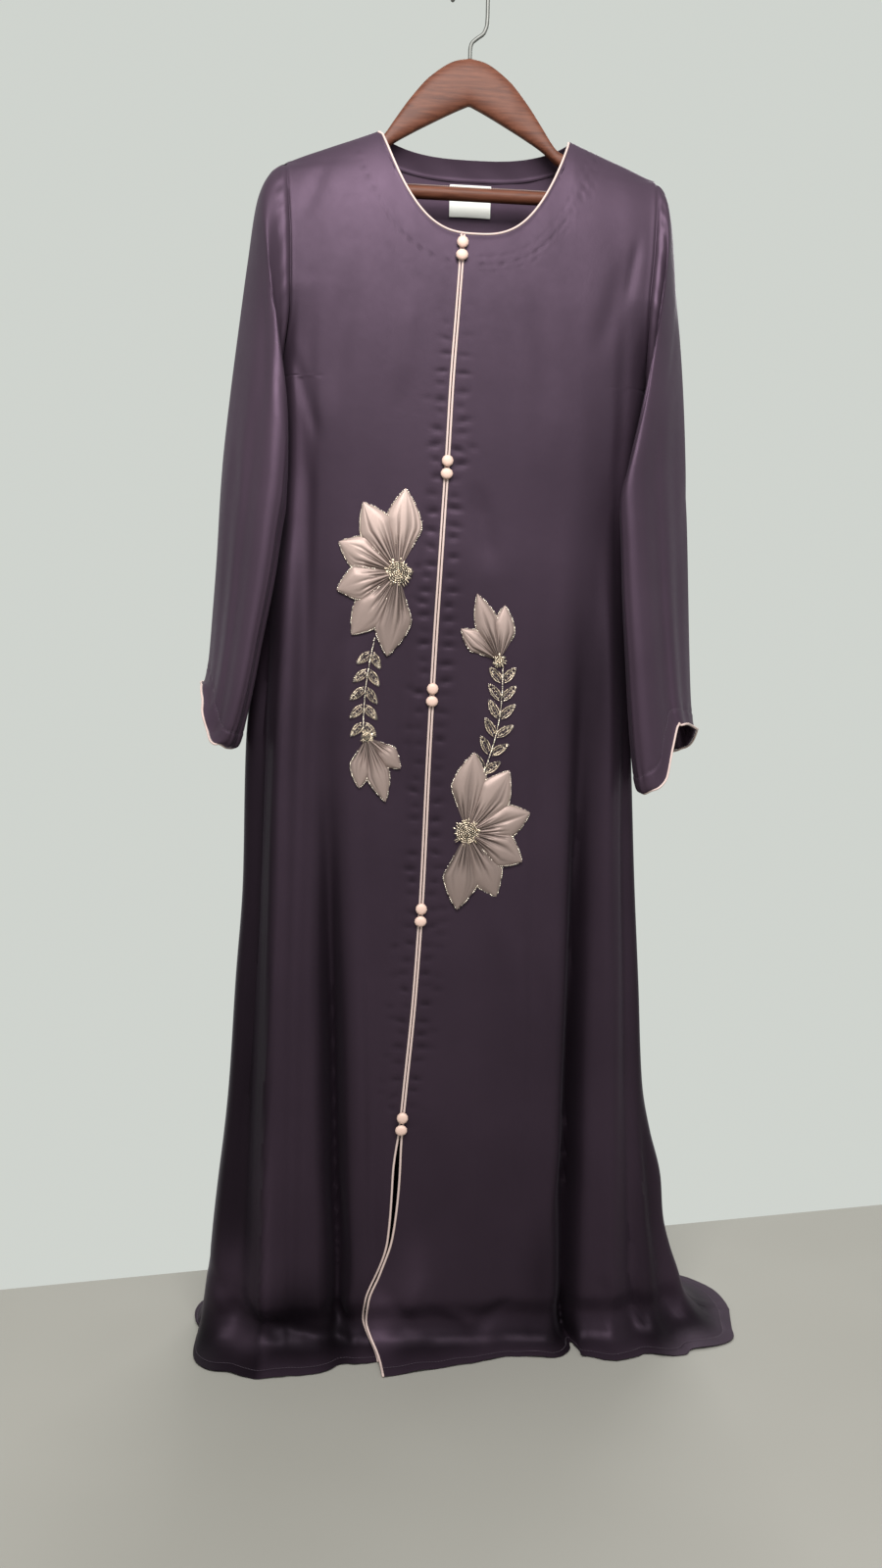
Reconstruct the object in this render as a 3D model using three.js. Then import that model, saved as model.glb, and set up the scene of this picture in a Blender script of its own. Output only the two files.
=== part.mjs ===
import * as THREE from 'three';

// Sizes in millimetres. The inner top of the hook is the origin, z is up, the front faces -y.
const WALL = 1.8;             // cloth of a panel with its turnings
const SEAM = 0.4;             // space kept between two panels at a seam
const SEAM_CALM = 14;         // width beside a side seam over which the folds die out
const NECK_MID = 7;           // middle of the neck, across
const NECK_HALF = 105;        // half width of the neck between the neck points
const NECK_TOP = -179;        // height of the neck points
const NECK_FRONT = 116;       // depth of the front neck curve
const NECK_BACK = 17;         // depth of the back neck curve
const NECK_POWER = 2.8;       // roundness of both neck curves
const SHOULDER_FALL = 0.38;   // fall of the shoulder seam for each mm outwards
const SHOULDER_SOFT = 85;     // height over which the cloth rounds the hanger
const UNDERARM = 450;         // drop of the underarm point below the seat
const ARM_DEEP = 38;          // bulge of the armhole to the front and to the back
const ARM_ROWS = 10;          // steps along the front or the back of an armhole
const TIP_STEPS = 8;          // columns of a panel under the shoulder seam
const PIPE = 1.2;             // radius of the edge piping
const PIPE_GAP = 0.3;         // space between piping and panel
const CUFF_GAP = [1.5, 1.05]; // space between the cuffs' piping and their rims, left and right
const BUTTON = 6.2;           // radius of a covered button
const BUTTON_DEEP = 3.2;      // half depth of a covered button
const BUTTON_STEP = 6.8;      // half distance of the two buttons of a pair
const BUTTON_PAIRS = [-310.5, -541.5, -785.5, -1026, -1258.5];
const LIFT = 0.45;            // space between a panel and what is sewn on it
const PETAL_EDGE = 0.8;       // thickness of a petal at its rim
const LEAF_THICK = 1.3;       // thickness of a beaded leaf
const LEAF_TURN = 50;         // degrees between a leaf and its stem
const FACING_GAP = 0.35;      // space between the back and its facing
const FACING_THICK = 1.2;     // thickness of the facing
const BREAK_DROP = 1480;      // drop along the cloth where the hem starts to lie out
const FOLD_LOW = 1518;        // drop at which the folds' lower places are given
const HEM_DROP = 1556;        // drop along the cloth of the hem's edge

// Columns of a panel under the neck curve, closer together over the hanger.
const NECK_COLUMNS = [0, 0.17, 0.34, 0.5, 0.65, 0.78, 0.89, 0.96, 1];
const NECK_STEPS = NECK_COLUMNS.length - 1;

// Body by drop below the seat: side seams left and right, closing line, middle of the back,
// depth of the front and of the back, and the side seam's own depth.
const BODY = table(['left', 'right', 'edge', 'spine', 'front', 'back', 'seam'], [
  [150, -199, 209, -5, 7, 46, 41, 0],
  [218, -197, 208, -6, 7, 46, 42, 0],
  [300, -192, 204, -8, 6, 46, 44, 0],
  [370, -191, 199, -12, 5, 47, 46, 0],
  [450, -199, 199, -17, 3, 47, 47, 0],
  [520, -195, 190, -20, 2, 48, 49, 3],
  [600, -198, 184, -24, 0, 49, 52, 4],
  [660, -208, 186, -27, -2, 50, 54, 5],
  [720, -221, 192, -30, -4, 50, 56, 6],
  [845, -235, 200, -35, -8, 51, 60, 8],
  [1000, -238, 209, -40, -10, 54, 66, 10],
  [1111, -245, 217, -46, -12, 56, 70, 10],
  [1230, -252, 226, -56, -12, 58, 75, 10],
  [1290, -257, 237, -61, -12, 60, 77, 10],
  [1345, -263, 251, -64, -11, 61, 80, 10],
  [1390, -268, 256, -69, -10, 62, 82, 10],
  [1430, -272, 266, -82, -8, 64, 84, 9],
  [1460, -276, 276, -94, -6, 65, 86, 8],
  [1485, -279, 284, -96, -4, 58, 87, 6],
  [1500, -281, 292, -91, -2, 60, 88, 5],
  [1518, -283, 300, -78, 0, 60, 88, 5],
]);

// Half widths kept at the closing line by drop, and how far the left edge lies behind.
const EDGE = table(['left', 'right', 'behind'], [
  [300, 3.1, 3.1, 0],
  [1262, 3.1, 3.1, 0],
  [1318, 6.2, 4.4, 0],
  [1375, 5, 3.8, 0],
  [1425, 3.1, 3.1, 0.5],
  [1475, 3.1, 3.1, 3],
  [1560, 3.1, 3.1, 2],
]);

// Roundness of the body's section by drop.
const ROUND = table(['power'], [[180, 5.5], [450, 5.5], [560, 4.2], [700, 3.6], [1500, 3.4]]);

// Lower border: drop along the cloth, height, and share of the reach over the floor.
const BREAK = table(['z', 'share'], [
  [0, 0, 0],
  [1480, -1480, 0],
  [1492, -1491.5, 0.02],
  [1504, -1502, 0.12],
  [1517, -1510, 0.34],
  [1536, -1514.5, 0.68],
  [1556, -1516.4, 1],
]);

// Reach of the hem over the floor by share of the panel, from its middle to the side seam.
const REACH = table(['frontLeft', 'frontRight', 'backLeft', 'backRight'], [
  [0, 31, 58, 40, 40],
  [0.15, 38, 42, 44, 38],
  [0.3, 48, 28, 38, 42],
  [0.5, 54, 30, 46, 48],
  [0.7, 55, 42, 38, 50],
  [0.85, 48, 54, 20, 50],
  [1, 4, 46, 4, 46],
]);

// Folds: face (-1 front, 1 back), side, place across at their start and at the hem,
// half width, depth (inwards positive), drops where they start and are full.
const FOLDS = [
  { face: -1, side: -1, top: -188, low: -208, half: 22, deep: -9, from: 520, full: 860 },
  { face: -1, side: -1, top: -152, low: -126, half: 25, deep: 17, from: 680, full: 1230 },
  { face: -1, side: -1, top: -80, low: -96, half: 22, deep: 5, from: 980, full: 1380 },
  { face: -1, side: 1, top: 162, low: 182, half: 19, deep: -9, from: 560, full: 820 },
  { face: -1, side: 1, top: 140, low: 134, half: 20, deep: 20, from: 620, full: 1200 },
  { face: -1, side: 1, top: 52, low: 64, half: 26, deep: 4, from: 900, full: 1350 },
  { face: -1, side: 1, top: 216, low: 262, half: 26, deep: 12, from: 1120, full: 1400 },
  { face: 1, side: -1, top: -158, low: -186, half: 26, deep: 18, from: 520, full: 1150 },
  { face: 1, side: -1, top: -62, low: -84, half: 28, deep: 20, from: 420, full: 1200 },
  { face: 1, side: -1, top: -112, low: -136, half: 24, deep: -8, from: 560, full: 1200 },
  { face: 1, side: 1, top: 40, low: 52, half: 30, deep: 22, from: 480, full: 1200 },
  { face: 1, side: 1, top: 92, low: 112, half: 24, deep: -8, from: 560, full: 1150 },
  { face: 1, side: 1, top: 142, low: 172, half: 27, deep: 18, from: 560, full: 1200 },
];

// Sleeves by share of their length: outer line, inner line, depth to the front and back,
// and how far the front lies towards the body and the back away from it.
const SLEEVE = [
  table(['ox', 'oz', 'ix', 'iz', 'front', 'back', 'towards', 'away'], [
    [0, -197, -218.5, -199, -450, 38, 38, 0, 0],
    [0.04, -213, -229, -204, -461, 43, 40, 2, 0],
    [0.12, -227, -256, -205, -474, 52, 42, 8, 2],
    [0.22, -237, -320, -206, -495, 62, 43, 20, 5],
    [0.34, -246, -392, -206, -522, 69, 44, 28, 8],
    [0.46, -254, -462, -206, -553, 75, 45, 30, 10],
    [0.58, -261, -535, -207, -590, 76, 46, 30, 12],
    [0.68, -266, -605, -214, -635, 76, 46, 27, 12],
    [0.78, -271, -675, -229, -690, 74, 46, 20, 14],
    [0.88, -276, -735, -240, -755, 70, 45, 12, 14],
    [1, -283, -790, -245, -820, 64, 42, 3, 8],
  ]),
  table(['ox', 'oz', 'ix', 'iz', 'front', 'back', 'towards', 'away'], [
    [0, 207, -217, 199, -450, 38, 38, 0, 0],
    [0.04, 217, -227, 205, -461, 43, 40, 2, 0],
    [0.12, 228, -258, 206, -475, 52, 42, 10, 2],
    [0.22, 237, -325, 206, -497, 62, 43, 24, 5],
    [0.34, 245, -395, 206, -524, 68, 44, 36, 8],
    [0.46, 251, -465, 204, -555, 73, 45, 46, 10],
    [0.58, 256, -540, 201, -592, 76, 46, 54, 12],
    [0.68, 261, -612, 202, -640, 77, 46, 51, 12],
    [0.78, 267, -690, 206, -700, 77, 46, 44, 12],
    [0.88, 272, -755, 212, -775, 76, 45, 39, 11],
    [1, 277, -812, 219, -850, 74, 42, 36, 9],
  ]),
];
const SLEEVE_RINGS = [0, 0.04, 0.1, 0.18, 0.28, 0.39, 0.5, 0.6, 0.7, 0.79, 0.87, 0.94, 1];

// Height of the cuff's rim by angle: 0 outer, 90 front, 180 towards the body, 270 back.
const RIM = table(['left', 'right'], [
  [0, -779, -819],
  [30, -806, -812],
  [50, -826, -813],
  [64, -833, -838],
  [75, -838, -872],
  [95, -842, -884],
  [120, -846, -889],
  [150, -846, -887],
  [180, -838, -868],
  [225, -816, -852],
  [270, -792, -847],
  [315, -775, -839],
  [360, -779, -819],
]);

// Long folds of the sleeves: side, angle, half width in degrees, depth, start and full share.
const SLEEVE_FOLDS = [
  { side: -1, angle: 54, half: 22, deep: 8, from: 0.2, full: 0.7 },
  { side: -1, angle: 126, half: 20, deep: 7, from: 0.35, full: 0.75 },
  { side: -1, angle: 270, half: 24, deep: 8, from: 0.3, full: 0.8 },
  { side: 1, angle: 54, half: 22, deep: 11, from: 0.25, full: 0.85 },
  { side: 1, angle: 234, half: 24, deep: 8, from: 0.3, full: 0.8 },
];

// Flowers: middle, angles and lengths of the petals, half width, radius of the middle.
const FLOWERS = [
  { name: 'left_upper', side: -1, x: -72, z: -655, at: [84, 115, 151, 195, 236, 265],
    long: [90, 83, 71, 68, 83, 90], half: 18, eye: 12.5 },
  { name: 'left_lower', side: -1, x: -103, z: -832, at: [-42, -72, -99],
    long: [50, 73, 56], half: 11.5, eye: 6 },
  { name: 'right_upper', side: 1, x: 40, z: -747, at: [140, 110, 83],
    long: [54, 76, 60], half: 11.5, eye: 6 },
  { name: 'right_lower', side: 1, x: 8, z: -935, at: [88, 54, 16, -24, -62, -95],
    long: [88, 82, 73, 69, 78, 85], half: 18, eye: 12.5 },
];

// Leaf sprays: ends of the stem, its bow to the right, pairs of leaves, length and half width.
const SPRAYS = [
  { name: 'left', side: -1, x0: -102, z0: -733, x1: -106, z1: -823, bow: 3, pairs: 6,
    up: -1, long: 15, half: 4 },
  { name: 'right', side: 1, x0: 42, z0: -757, x1: 25, z1: -866, bow: 5, pairs: 6,
    up: 1, long: 17, half: 4.4 },
];

// Wooden arms by distance from the middle: top, bottom and half thickness.
const ARMS = table(['top', 'bottom', 'half'], [
  [0, -97, -146, 8],
  [15, -100, -153, 8],
  [42, -117, -167, 8],
  [62, -139, -178, 7],
  [82, -167, -190, 6.4],
  [90, -179, -196.5, 6.2],
  [98, -188.5, -203, 6.2],
  [112, -195, -211, 6.4],
  [150, -207, -232, 6.6],
  [188, -221, -232, 6],
  [197, -225, -231, 3],
]);
const BAR_Z = -239.5;         // height of the trouser bar
const BAR_HALF = 186;         // half length of the bar
const BAR_RADIUS = 7;         // radius of the trouser bar
const HOOK_WIRE = 2.1;        // radius of the hook's wire
const HOOK_BEND = 16.2;       // inner radius of the hook

const SATIN = new THREE.Color(0x51434f);
const BLUSH = new THREE.Color(0xd9bdb2);
const PETAL = new THREE.Color(0xb39b95);
const BEAD = new THREE.Color(0xb9a77c);
const WHITE = new THREE.Color(0xe6e6de);
const WOOD = new THREE.Color(0x6f3b2b);
const STEEL = new THREE.Color(0x9a9c9c);

// Reads a table smoothly: each row starts with its place, the columns are named.
function table(names, rows) {
  const at = rows.map((r) => r[0]);
  const count = rows.length;
  const slopes = names.map((_, c) => {
    const step = [];
    for (let i = 0; i < count - 1; i += 1) {
      step.push((rows[i + 1][c + 1] - rows[i][c + 1]) / (at[i + 1] - at[i]));
    }
    const slope = new Array(count).fill(0);
    for (let i = 1; i < count - 1; i += 1) {
      const a = step[i - 1];
      const b = step[i];
      slope[i] = a * b <= 0 ? 0 : (2 * a * b) / (a + b);
    }
    slope[0] = step[0];
    slope[count - 1] = step[count - 2];
    return slope;
  });
  return (place) => {
    const p = Math.min(Math.max(place, at[0]), at[count - 1]);
    let i = 0;
    while (i < count - 2 && p > at[i + 1]) i += 1;
    const h = at[i + 1] - at[i];
    const t = (p - at[i]) / h;
    const out = {};
    names.forEach((name, c) => {
      const a = rows[i][c + 1];
      const b = rows[i + 1][c + 1];
      const sa = slopes[c][i] * h;
      const sb = slopes[c][i + 1] * h;
      out[name] = a * (1 + 2 * t) * (1 - t) * (1 - t) + sa * t * (1 - t) * (1 - t)
        + b * t * t * (3 - 2 * t) - sb * t * t * (1 - t);
    });
    return out;
  };
}

function smooth(a, b, x) {
  const t = Math.min(Math.max((x - a) / (b - a), 0), 1);
  return t * t * (3 - 2 * t);
}

const add = (a, b, k = 1) => [a[0] + b[0] * k, a[1] + b[1] * k, a[2] + b[2] * k];
const sub = (a, b) => [a[0] - b[0], a[1] - b[1], a[2] - b[2]];
const mix = (a, b, t) => [a[0] + (b[0] - a[0]) * t, a[1] + (b[1] - a[1]) * t,
  a[2] + (b[2] - a[2]) * t];
const dot = (a, b) => a[0] * b[0] + a[1] * b[1] + a[2] * b[2];
const cross = (a, b) => [a[1] * b[2] - a[2] * b[1], a[2] * b[0] - a[0] * b[2],
  a[0] * b[1] - a[1] * b[0]];
function unit(a) {
  const l = Math.hypot(a[0], a[1], a[2]) || 1;
  return [a[0] / l, a[1] / l, a[2] / l];
}

// Height of the shoulder line over a place across.
function shoulderZ(x) {
  return NECK_TOP - SHOULDER_FALL * Math.max(0, Math.abs(x - NECK_MID) - NECK_HALF);
}

// Height of the panel's upper border over a place across.
function topZ(face, x) {
  const across = Math.abs(x - NECK_MID) / NECK_HALF;
  if (across >= 1) return shoulderZ(x);
  const deep = face < 0 ? NECK_FRONT : NECK_BACK;
  return NECK_TOP - deep * (1 - across ** NECK_POWER);
}

// Depth of the armhole's curve at a height.
function armholeDepth(side, z) {
  const tip = SLEEVE[side < 0 ? 0 : 1](0).oz;
  const half = (tip + UNDERARM) / 2;
  const c = (z - (tip - UNDERARM) / 2) / half;
  return ARM_DEEP * Math.sqrt(Math.max(0, 1 - c * c));
}

// Quarter section of the body at a height, from its middle to its side.
const sections = new Map();
function section(face, side, z) {
  const key = `${face},${side},${z.toFixed(4)}`;
  if (sections.has(key)) return sections.get(key);
  const drop = -z;
  const b = BODY(drop);
  const e = EDGE(drop);
  const power = ROUND(drop).power;
  const x0 = face < 0 ? b.edge + side * (side < 0 ? e.left : e.right) : b.spine;
  const x1 = side < 0 ? b.left : b.right;
  const y1 = b.seam + face * (SEAM / 2);
  const full = face < 0 ? b.front : b.back;
  const depth = (x) => {
    const h = Math.max(shoulderZ(x) - z, 0);
    return Math.max(full * Math.tanh(Math.sqrt(h / SHOULDER_SOFT)), SEAM / 2);
  };
  const cut = drop < UNDERARM ? Math.min(armholeDepth(side, z) / depth(x1), 0.93) : 0;
  const kept = (1 - cut ** power) ** (1 / power);
  const reach = (x1 - x0) / kept;
  const last = Math.atan2(kept, cut);
  const base = [];
  const count = 90;
  for (let k = 0; k <= count; k += 1) {
    const angle = (k / count) * last;
    const s = Math.sin(angle);
    const c = Math.cos(angle);
    const r = (s ** power + Math.max(c, 0) ** power) ** (-1 / power);
    const x = x0 + reach * r * s;
    const behind = face < 0 && side < 0 ? e.behind * (1 - smooth(0, 0.12, r * s)) : 0;
    const y = y1 + (face * depth(x) - y1) * r * c + behind;
    base.push([x, y]);
  }
  const points = base.map((p, k) => {
    const a = base[Math.max(k - 1, 0)];
    const q = base[Math.min(k + 1, count)];
    let nx = -(q[1] - a[1]) * side * face;
    let ny = (q[0] - a[0]) * side * face;
    const l = Math.hypot(nx, ny) || 1;
    nx /= l;
    ny /= l;
    let out = 0;
    for (const f of FOLDS) {
      if (f.face !== face || f.side !== side || drop < f.from) continue;
      const down = (drop - f.from) / (FOLD_LOW - f.from);
      const d = Math.abs(p[0] - (f.top + (f.low - f.top) * down)) / f.half;
      if (d >= 1) continue;
      const wave = Math.cos(d * Math.PI / 2) ** 2;
      out -= f.deep * wave * smooth(f.from, f.full, drop);
    }
    out *= smooth(0, SEAM_CALM, Math.abs(p[0] - x1));
    return [p[0] + nx * out, p[1] + ny * out];
  });
  const run = [0];
  for (let k = 1; k <= count; k += 1) {
    const a = points[k - 1];
    const q = points[k];
    run.push(run[k - 1] + Math.hypot(q[0] - a[0], q[1] - a[1]));
  }
  const made = { points, run };
  sections.set(key, made);
  return made;
}

// Point of the section at a share of its own length.
function along(face, side, share, z) {
  const { points, run } = section(face, side, z);
  const want = Math.min(Math.max(share, 0), 1) * run[run.length - 1];
  let k = 0;
  while (k < run.length - 2 && run[k + 1] < want) k += 1;
  const t = (want - run[k]) / (run[k + 1] - run[k]);
  const a = points[k];
  const b = points[k + 1];
  return [a[0] + (b[0] - a[0]) * t, a[1] + (b[1] - a[1]) * t, z];
}

// Outward direction of the section, level.
function levelOut(face, side, share, z) {
  const a = along(face, side, share - 0.09, z);
  const b = along(face, side, share + 0.09, z);
  const out = unit([-(b[1] - a[1]) * side * face, (b[0] - a[0]) * side * face, 0]);
  if (share > 0.999) return [side, 0, 0];
  return face < 0 && side < 0 ? unit([out[0] * 0.12, -1, 0]) : out;
}

// Outer surface of the body at a share across and a drop along the cloth.
function bodyPoint(face, side, share, drop) {
  const { z, share: reach } = drop < BREAK_DROP ? { z: -drop, share: 0 } : BREAK(drop);
  const p = along(face, side, share, z);
  if (reach <= 0) return p;
  const key = (face < 0 ? 'front' : 'back') + (side < 0 ? 'Left' : 'Right');
  const out = levelOut(face, side, share, -BREAK_DROP);
  return add(p, out, REACH(share)[key] * reach);
}

// Drop of a row at a share across: the upper rows fan out from the neck and shoulder.
function topDrop(face, side, share) {
  let z = -250;
  for (let k = 0; k < 24; k += 1) {
    z += (topZ(face, along(face, side, share, z)[0]) - z) * 0.7;
  }
  return -z;
}

function neckShare(face, side) {
  let low = 0.2;
  let high = 0.9;
  for (let k = 0; k < 40; k += 1) {
    const mid = (low + high) / 2;
    const x = along(face, side, mid, NECK_TOP)[0];
    if (Math.abs(x - NECK_MID) < NECK_HALF) low = mid;
    else high = mid;
  }
  return (low + high) / 2;
}

const LOW_ROWS = [500, 585, 680, 790, 910, 1030, 1150, 1250, 1335, 1400, 1450, 1482, 1496,
  1508, 1528, HEM_DROP];

function outwards(face, side, share, drop) {
  const du = 0.004;
  const dz = 1.2;
  const a = bodyPoint(face, side, share - du, drop);
  const b = bodyPoint(face, side, share + du, drop);
  const c = bodyPoint(face, side, share, drop - dz);
  const d = bodyPoint(face, side, share, Math.min(drop + dz, HEM_DROP));
  const n = unit(cross(sub(b, a), sub(d, c)));
  const k = face * side > 0 ? 1 : -1;
  return [n[0] * k, n[1] * k, n[2] * k];
}

// Grid of a half panel: outer points and the directions to its outside.
function halfPanel(face, side) {
  const shares = [];
  const neck = neckShare(face, side);
  NECK_COLUMNS.forEach((part) => shares.push(neck * part));
  for (let i = 1; i <= TIP_STEPS; i += 1) shares.push(neck + ((1 - neck) * i) / TIP_STEPS);
  const tops = shares.map((share) => topDrop(face, side, share));
  const rows = [];
  const ways = [];
  for (let j = 0; j <= ARM_ROWS + LOW_ROWS.length; j += 1) {
    const row = [];
    const way = [];
    shares.forEach((share, i) => {
      const fan = (1 - Math.cos((Math.PI * Math.min(j, ARM_ROWS)) / ARM_ROWS)) / 2;
      const drop = j <= ARM_ROWS ? tops[i] + (UNDERARM - tops[i]) * fan
        : LOW_ROWS[j - ARM_ROWS - 1];
      row.push(bodyPoint(face, side, share, drop));
      let n = outwards(face, side, share, drop);
      if (j === 0 && i >= NECK_STEPS) n = unit([side * SHOULDER_FALL, 0, 1]);
      if (j > ARM_ROWS && i === shares.length - 1 && LOW_ROWS[j - ARM_ROWS - 1] < 1490) {
        n = [side, 0, 0];
      }
      if (i === shares.length - 1) {
        const x = j <= ARM_ROWS && n[0] * side < 0 ? 0 : n[0];
        n = unit([x, j >= ARM_ROWS ? 0 : n[1], n[2]]);
      }
      way.push(n);
    });
    rows.push(row);
    ways.push(way);
  }
  return { rows, ways, shares };
}

// Closed body between two layers of points; rolled grids close round their columns.
function wall(outer, inner, rolled = false) {
  const h = outer.length;
  const w = outer[0].length;
  const points = [...outer.flat(), ...inner.flat()];
  const at = (layer, j, i) => layer * h * w + j * w + (i % w);
  const faces = [];
  const quad = (a, b, c, d) => {
    faces.push([a, b, c], [a, c, d]);
  };
  const last = rolled ? w : w - 1;
  for (let j = 0; j < h - 1; j += 1) {
    for (let i = 0; i < last; i += 1) {
      quad(at(0, j, i), at(0, j + 1, i), at(0, j + 1, i + 1), at(0, j, i + 1));
      quad(at(1, j, i), at(1, j, i + 1), at(1, j + 1, i + 1), at(1, j + 1, i));
    }
  }
  for (let i = 0; i < last; i += 1) {
    quad(at(0, 0, i), at(0, 0, i + 1), at(1, 0, i + 1), at(1, 0, i));
    quad(at(0, h - 1, i + 1), at(0, h - 1, i), at(1, h - 1, i), at(1, h - 1, i + 1));
  }
  if (!rolled) {
    for (let j = 0; j < h - 1; j += 1) {
      quad(at(0, j + 1, 0), at(0, j, 0), at(1, j, 0), at(1, j + 1, 0));
      quad(at(0, j, w - 1), at(0, j + 1, w - 1), at(1, j + 1, w - 1), at(1, j, w - 1));
    }
  }
  return { points, faces };
}

function inset(grid, ways, deep) {
  return grid.map((row, j) => row.map((p, i) => add(p, ways[j][i], -deep)));
}

// Round bar along a path with flat ends.
function tube(path, radius, sides, radii = null) {
  const points = [];
  const faces = [];
  let side = null;
  path.forEach((p, k) => {
    const a = path[Math.max(k - 1, 0)];
    const b = path[Math.min(k + 1, path.length - 1)];
    const t = unit(sub(b, a));
    if (!side) side = Math.abs(t[1]) < 0.9 ? [0, 1, 0] : [1, 0, 0];
    side = unit(sub(side, t.map((v) => v * dot(side, t))));
    const other = cross(t, side);
    const r = radii ? radii[k] : radius;
    for (let i = 0; i < sides; i += 1) {
      const angle = (2 * Math.PI * i) / sides;
      points.push(add(add(p, side, r * Math.cos(angle)), other, r * Math.sin(angle)));
    }
  });
  const n = path.length;
  for (let k = 0; k < n - 1; k += 1) {
    for (let i = 0; i < sides; i += 1) {
      const a = k * sides + i;
      const b = k * sides + ((i + 1) % sides);
      faces.push([a, b, b + sides], [a, b + sides, a + sides]);
    }
  }
  for (let i = 1; i < sides - 1; i += 1) {
    faces.push([0, i + 1, i]);
    const e = (n - 1) * sides;
    faces.push([e, e + i, e + i + 1]);
  }
  return { points, faces };
}

const root = new THREE.Group();
root.name = 'abaya';

// Adds one closed body under its own name.
function piece(name, { points, faces }, color, roughness, metalness = 0) {
  let volume = 0;
  for (const [a, b, c] of faces) {
    volume += dot(points[a], cross(points[b], points[c])) / 6;
  }
  const turned = volume < 0 ? faces.map(([a, b, c]) => [a, c, b]) : faces;
  const geometry = new THREE.BufferGeometry();
  geometry.setAttribute('position', new THREE.Float32BufferAttribute(points.flat(), 3));
  geometry.setIndex(turned.flat());
  geometry.computeVertexNormals();
  const material = new THREE.MeshStandardMaterial({ color, roughness, metalness });
  material.name = name;
  const mesh = new THREE.Mesh(geometry, material);
  mesh.name = name;
  root.add(mesh);
  return mesh;
}

// Panels of the body.
const frontLeft = halfPanel(-1, -1);
const frontRight = halfPanel(-1, 1);
const backLeft = halfPanel(1, -1);
const backRight = halfPanel(1, 1);

function joinHalves(left, right, key) {
  return left[key].map((row, j) => [...row.slice(1).reverse(), ...right[key][j]]);
}

const back = {
  rows: joinHalves(backLeft, backRight, 'rows'),
  ways: joinHalves(backLeft, backRight, 'ways'),
};

piece('front_left', wall(frontLeft.rows, inset(frontLeft.rows, frontLeft.ways, WALL)),
  SATIN, 0.45);
piece('front_right', wall(frontRight.rows, inset(frontRight.rows, frontRight.ways, WALL)),
  SATIN, 0.45);
piece('back', wall(back.rows, inset(back.rows, back.ways, WALL)), SATIN, 0.45);

// Sleeves: the first ring is the armhole of the two panels, moved out by the seam's space.
function sleeveRing(side, share) {
  const index = side < 0 ? 0 : 1;
  const front = side < 0 ? frontLeft : frontRight;
  const rear = side < 0 ? backLeft : backRight;
  const edge = front.shares.length - 1;
  const r = SLEEVE[index](share);
  const power = 2 + 0.45 * smooth(0.1, 0.5, share);
  const fade = 1 - smooth(0, 0.14, share);
  const ring = [];
  const total = ARM_ROWS * 2;
  for (let k = 0; k < total; k += 1) {
    const angle = (Math.PI * k) / ARM_ROWS;
    const c = Math.cos(angle);
    const s = Math.sin(angle);
    const near = Math.sign(c) * Math.abs(c) ** (2 / power);
    const deep = Math.abs(s) < 1e-9 ? 0 : Math.sign(s) * Math.abs(s) ** (2 / power);
    const middle = [(r.ox + r.ix) / 2, 0, (r.oz + r.iz) / 2];
    const axis = [(r.ox - r.ix) / 2, 0, (r.oz - r.iz) / 2];
    const slant = deep > 0 ? -side * r.towards * deep : side * r.away * -deep;
    let p = add(middle, axis, near);
    p = add(p, [slant, deep > 0 ? -r.front * deep : r.back * -deep, 0]);
    const first = SLEEVE[index](0);
    const ideal = add([(first.ox + first.ix) / 2, 0, (first.oz + first.iz) / 2],
      [(first.ox - first.ix) / 2, 0, (first.oz - first.iz) / 2], c);
    ideal[1] = -ARM_DEEP * s;
    const row = k <= ARM_ROWS ? k : total - k;
    const seam = (k <= ARM_ROWS ? front : rear).rows[row][edge];
    const sewn = [seam[0] + side * SEAM, k === 0 || k === ARM_ROWS ? 0 : seam[1], seam[2]];
    p = add(p, sub(sewn, ideal), fade);
    let pull = 0;
    for (const f of SLEEVE_FOLDS) {
      if (f.side !== side) continue;
      const degrees = (angle * 180) / Math.PI;
      const d = Math.abs(degrees - f.angle) / f.half;
      if (d < 1) pull += f.deep * Math.cos(d * Math.PI / 2) ** 2 * smooth(f.from, f.full, share);
    }
    const span = sub(middle, p);
    p = add(p, unit([span[0], span[1], 0]), pull);
    const rim = RIM((angle * 180) / Math.PI)[side < 0 ? 'left' : 'right'];
    p[2] += (rim - p[2]) * smooth(0.62, 1, share);
    ring.push(p);
  }
  return ring;
}

function sleeveGrid(side) {
  const rows = SLEEVE_RINGS.map((share) => sleeveRing(side, share));
  const w = rows[0].length;
  const ways = rows.map((row, j) => row.map((p, i) => {
    const a = row[(i + w - 1) % w];
    const b = row[(i + 1) % w];
    const c = rows[Math.max(j - 1, 0)][i];
    const d = rows[Math.min(j + 1, rows.length - 1)][i];
    let n = unit(cross(sub(b, a), sub(d, c)));
    const middle = row.reduce((m, q) => add(m, q, 1 / w), [0, 0, 0]);
    if (dot(n, sub(p, middle)) < 0) n = n.map((v) => -v);
    if (j === 0 && n[0] * side > 0) n = unit([0, n[1], n[2]]);
    return n;
  }));
  return { rows, ways };
}

const sleeves = [sleeveGrid(-1), sleeveGrid(1)];
const SIDES = ['left', 'right'];
sleeves.forEach((sleeve, n) => {
  piece(`sleeve_${SIDES[n]}`, wall(sleeve.rows, inset(sleeve.rows, sleeve.ways, WALL), true),
    SATIN, 0.45);
});

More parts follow.
